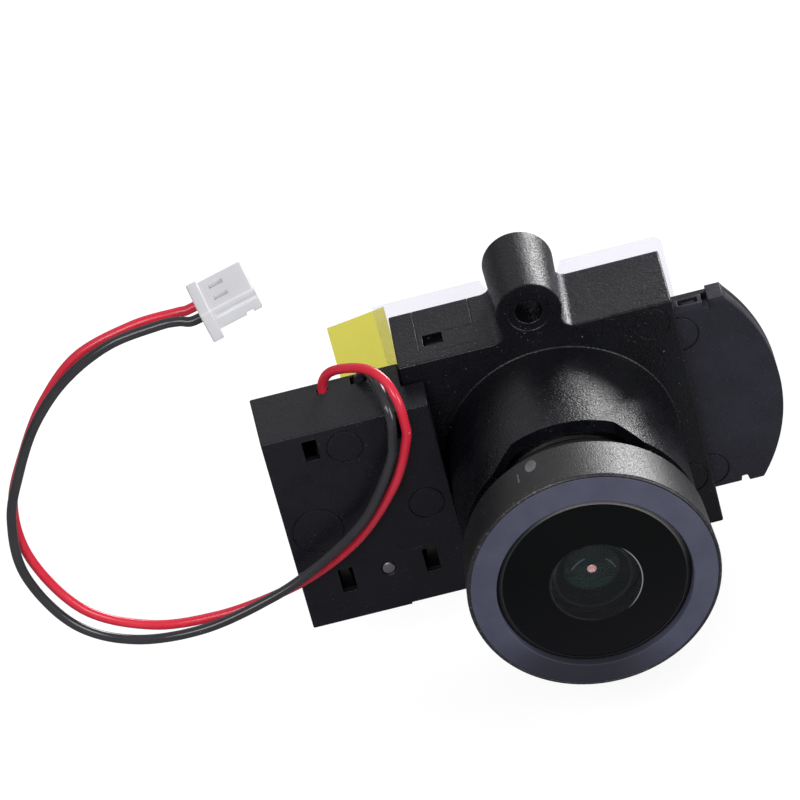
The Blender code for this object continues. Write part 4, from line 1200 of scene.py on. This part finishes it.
def film():
    """The clear sheet over the back, hollowed round the bosses, and its yellow tab."""
    left, right, top, corner = -10.17, 9.69, 10.15, 0.6
    hollow = 2.9
    dip = degrees(asin((BOSS_Z - top) / hollow))
    outline = (arc(right - corner, -top + corner, corner, 270, 360, 5)
               + arc(right - corner, top - corner, corner, 0, 90, 5)
               + arc(0.0, BOSS_Z, hollow, -dip, -180 + dip, 30)
               + [(left, top), (left, -top)]
               + arc(0.0, -BOSS_Z, hollow, 180 - dip, dip, 30))
    sheet(outline, 0.10, 0.09, cover_wave, "cover_film", "film", "protective_film", "dust_film")
    tab = [(-13.46, -3.2), (-9.40, -3.2), (-9.40, 9.95), (left, 9.82), (-13.46, 9.30)]
    sheet(tab, 0.26, 0.06, tab_wave, "yellow_tab", "tab", "yellow_film", "pull_tab")


film()

# ------------------------------------------------------ CAD nodes that stay
for node, finish in (("yoke", "yoke"), ("coil_bobbin", "bobbin"), ("coil_winding", "copper"),
                     ("magnet_rotor", "magnet"), ("swing_arm", "natural"),
                     ("filter_frame", "natural"), ("ir_cut_filter", "ir_glass"),
                     ("clear_filter", "clear"), ("solder_post_left", "tin"),
                     ("solder_post_right", "tin"), ("crimp_terminal_red", "tin"),
                     ("crimp_terminal_black", "tin"), ("doublet_front", "deep_glass"),
                     ("doublet_rear", "deep_glass"), ("rear_spacer", "ink")):
    materials = frame["nodes"][node].data.materials
    materials.clear()
    materials.append(FINISH[finish])


# -------------------------------------------------------------------- stage
def floor(cells=24, half=3.0, gap=0.0002):
    """A square floor, gap below the CAD pieces; sizes in metres."""
    level = CAD_BOX[0].z - gap
    shape = bmesh.new()
    rows = [[shape.verts.new((-half + 2 * half * i / cells, -half + 2 * half * j / cells, level))
             for j in range(cells + 1)] for i in range(cells + 1)]
    for row, following in zip(rows, rows[1:]):
        for j in range(cells):
            shape.faces.new((row[j], following[j], following[j + 1], row[j + 1]))
    piece = to_object(shape, "stage_floor")
    # glowing near-white to the camera, plain grey to every other ray
    material, tree, output = new_material("stage_floor")
    seen = add_node(tree, "LightPath").outputs["Is Camera Ray"]
    dim = add_node(tree, "BsdfDiffuse", {"Color": (0.36, 0.36, 0.37)})
    lit = add_node(tree, "BsdfDiffuse", {"Color": (0.33, 0.33, 0.33)})
    glow = add_node(tree, "Emission", {"Color": (1.0, 1.0, 1.0), "Strength": 0.84})
    bright = add_node(tree, "AddShader", {0: lit.outputs[0], 1: glow.outputs[0]})
    mixed = add_node(tree, "MixShader", {0: seen, 1: dim.outputs[0], 2: bright.outputs[0]})
    feed(tree, output.inputs["Surface"], mixed.outputs[0])
    piece.data.materials.append(material)


def world():
    """White to the camera; otherwise a grey that brightens upwards."""
    studio = bpy.data.worlds.new("studio")
    scene.world = studio
    studio.use_nodes = True
    tree = studio.node_tree
    tree.nodes.clear()
    seen = add_node(tree, "LightPath").outputs["Is Camera Ray"]
    coords = add_node(tree, "TexCoord").outputs["Generated"]
    height = add_node(tree, "SeparateXYZ", {0: coords}).outputs["Z"]
    ramp = add_node(tree, "MapRange", {"Value": height, "From Min": -0.2, "From Max": 0.9})
    grey = add_node(tree, "Mix", {0: ramp.outputs["Result"], 6: (0.14, 0.14, 0.155),
                                  7: (0.50, 0.50, 0.52)}, data_type="RGBA")
    soft = add_node(tree, "Background", {"Color": grey.outputs[2], "Strength": 0.55})
    white = add_node(tree, "Background", {"Color": (1.0, 1.0, 1.0)})
    mixed = add_node(tree, "MixShader", {0: seen, 1: soft.outputs[0], 2: white.outputs[0]})
    add_node(tree, "OutputWorld", {"Surface": mixed.outputs[0]})


floor()
world()

HEART = Vector((-0.004, -0.010, AXIS_Z))    # the point the lights face, in metres


def softbox(name, direction, distance, size, radiance, colour):
    """An area light facing HEART, in metres; radiance is what a mirror would show."""
    light = bpy.data.lights.new(name, "AREA")
    light.shape = "RECTANGLE"
    light.size, light.size_y = size
    light.energy = radiance * pi * light.size * light.size_y
    light.color = colour
    lamp = bpy.data.objects.new(name, light)
    scene.collection.objects.link(lamp)
    direction = Vector(direction).normalized()
    lamp.location = HEART + direction * distance
    lamp.rotation_euler = direction.to_track_quat("Z", "Y").to_euler()
    # keeps the coated lens free of stray images of the panel
    lamp.visible_transmission = False


softbox("key_rear", direction=(0.47, 0.84, 0.27), distance=0.50, size=(0.19, 0.23),
        radiance=11.0, colour=(1.0, 0.995, 1.0))
softbox("back_wall", direction=(-0.05, 0.83, 0.56), distance=0.80, size=(0.95, 0.50),
        radiance=0.29, colour=(1.0, 1.0, 1.0))
softbox("front_fill", direction=(-0.30, -0.75, 0.75), distance=0.90, size=(0.5, 0.4),
        radiance=4.9, colour=(0.975, 0.97, 1.0))
softbox("right_fill", direction=(0.85, -0.65, 0.35), distance=0.80, size=(0.35, 0.5),
        radiance=5.2, colour=(0.97, 0.975, 1.0))

# ------------------------------------------------------------------- camera
# Axes of the camera, and its place in mm about the optical axis
CAMERA_RIGHT = (0.9697, -0.1071, -0.2195)
CAMERA_UP = (0.2417, 0.5483, 0.8006)
CAMERA_BACK = (0.0346, -0.8294, 0.5576)
CAMERA_AT = Vector((3.4158, -320.8484, 218.1781))


def camera():
    data = bpy.data.cameras.new("camera")
    piece = bpy.data.objects.new("camera", data)
    scene.collection.objects.link(piece)
    data.sensor_width = 36.0
    data.lens = 257.31
    data.clip_start = 0.01
    data.clip_end = 20.0
    turn = Matrix((CAMERA_RIGHT, CAMERA_UP, CAMERA_BACK)).transposed().to_4x4()
    piece.matrix_world = Matrix.Translation(PLACE @ CAMERA_AT) @ turn
    scene.camera = piece


camera()
scene.view_settings.view_transform = "Standard"
scene.view_settings.look = "None"
scene.view_settings.exposure = 0.0
scene.view_settings.gamma = 1.0
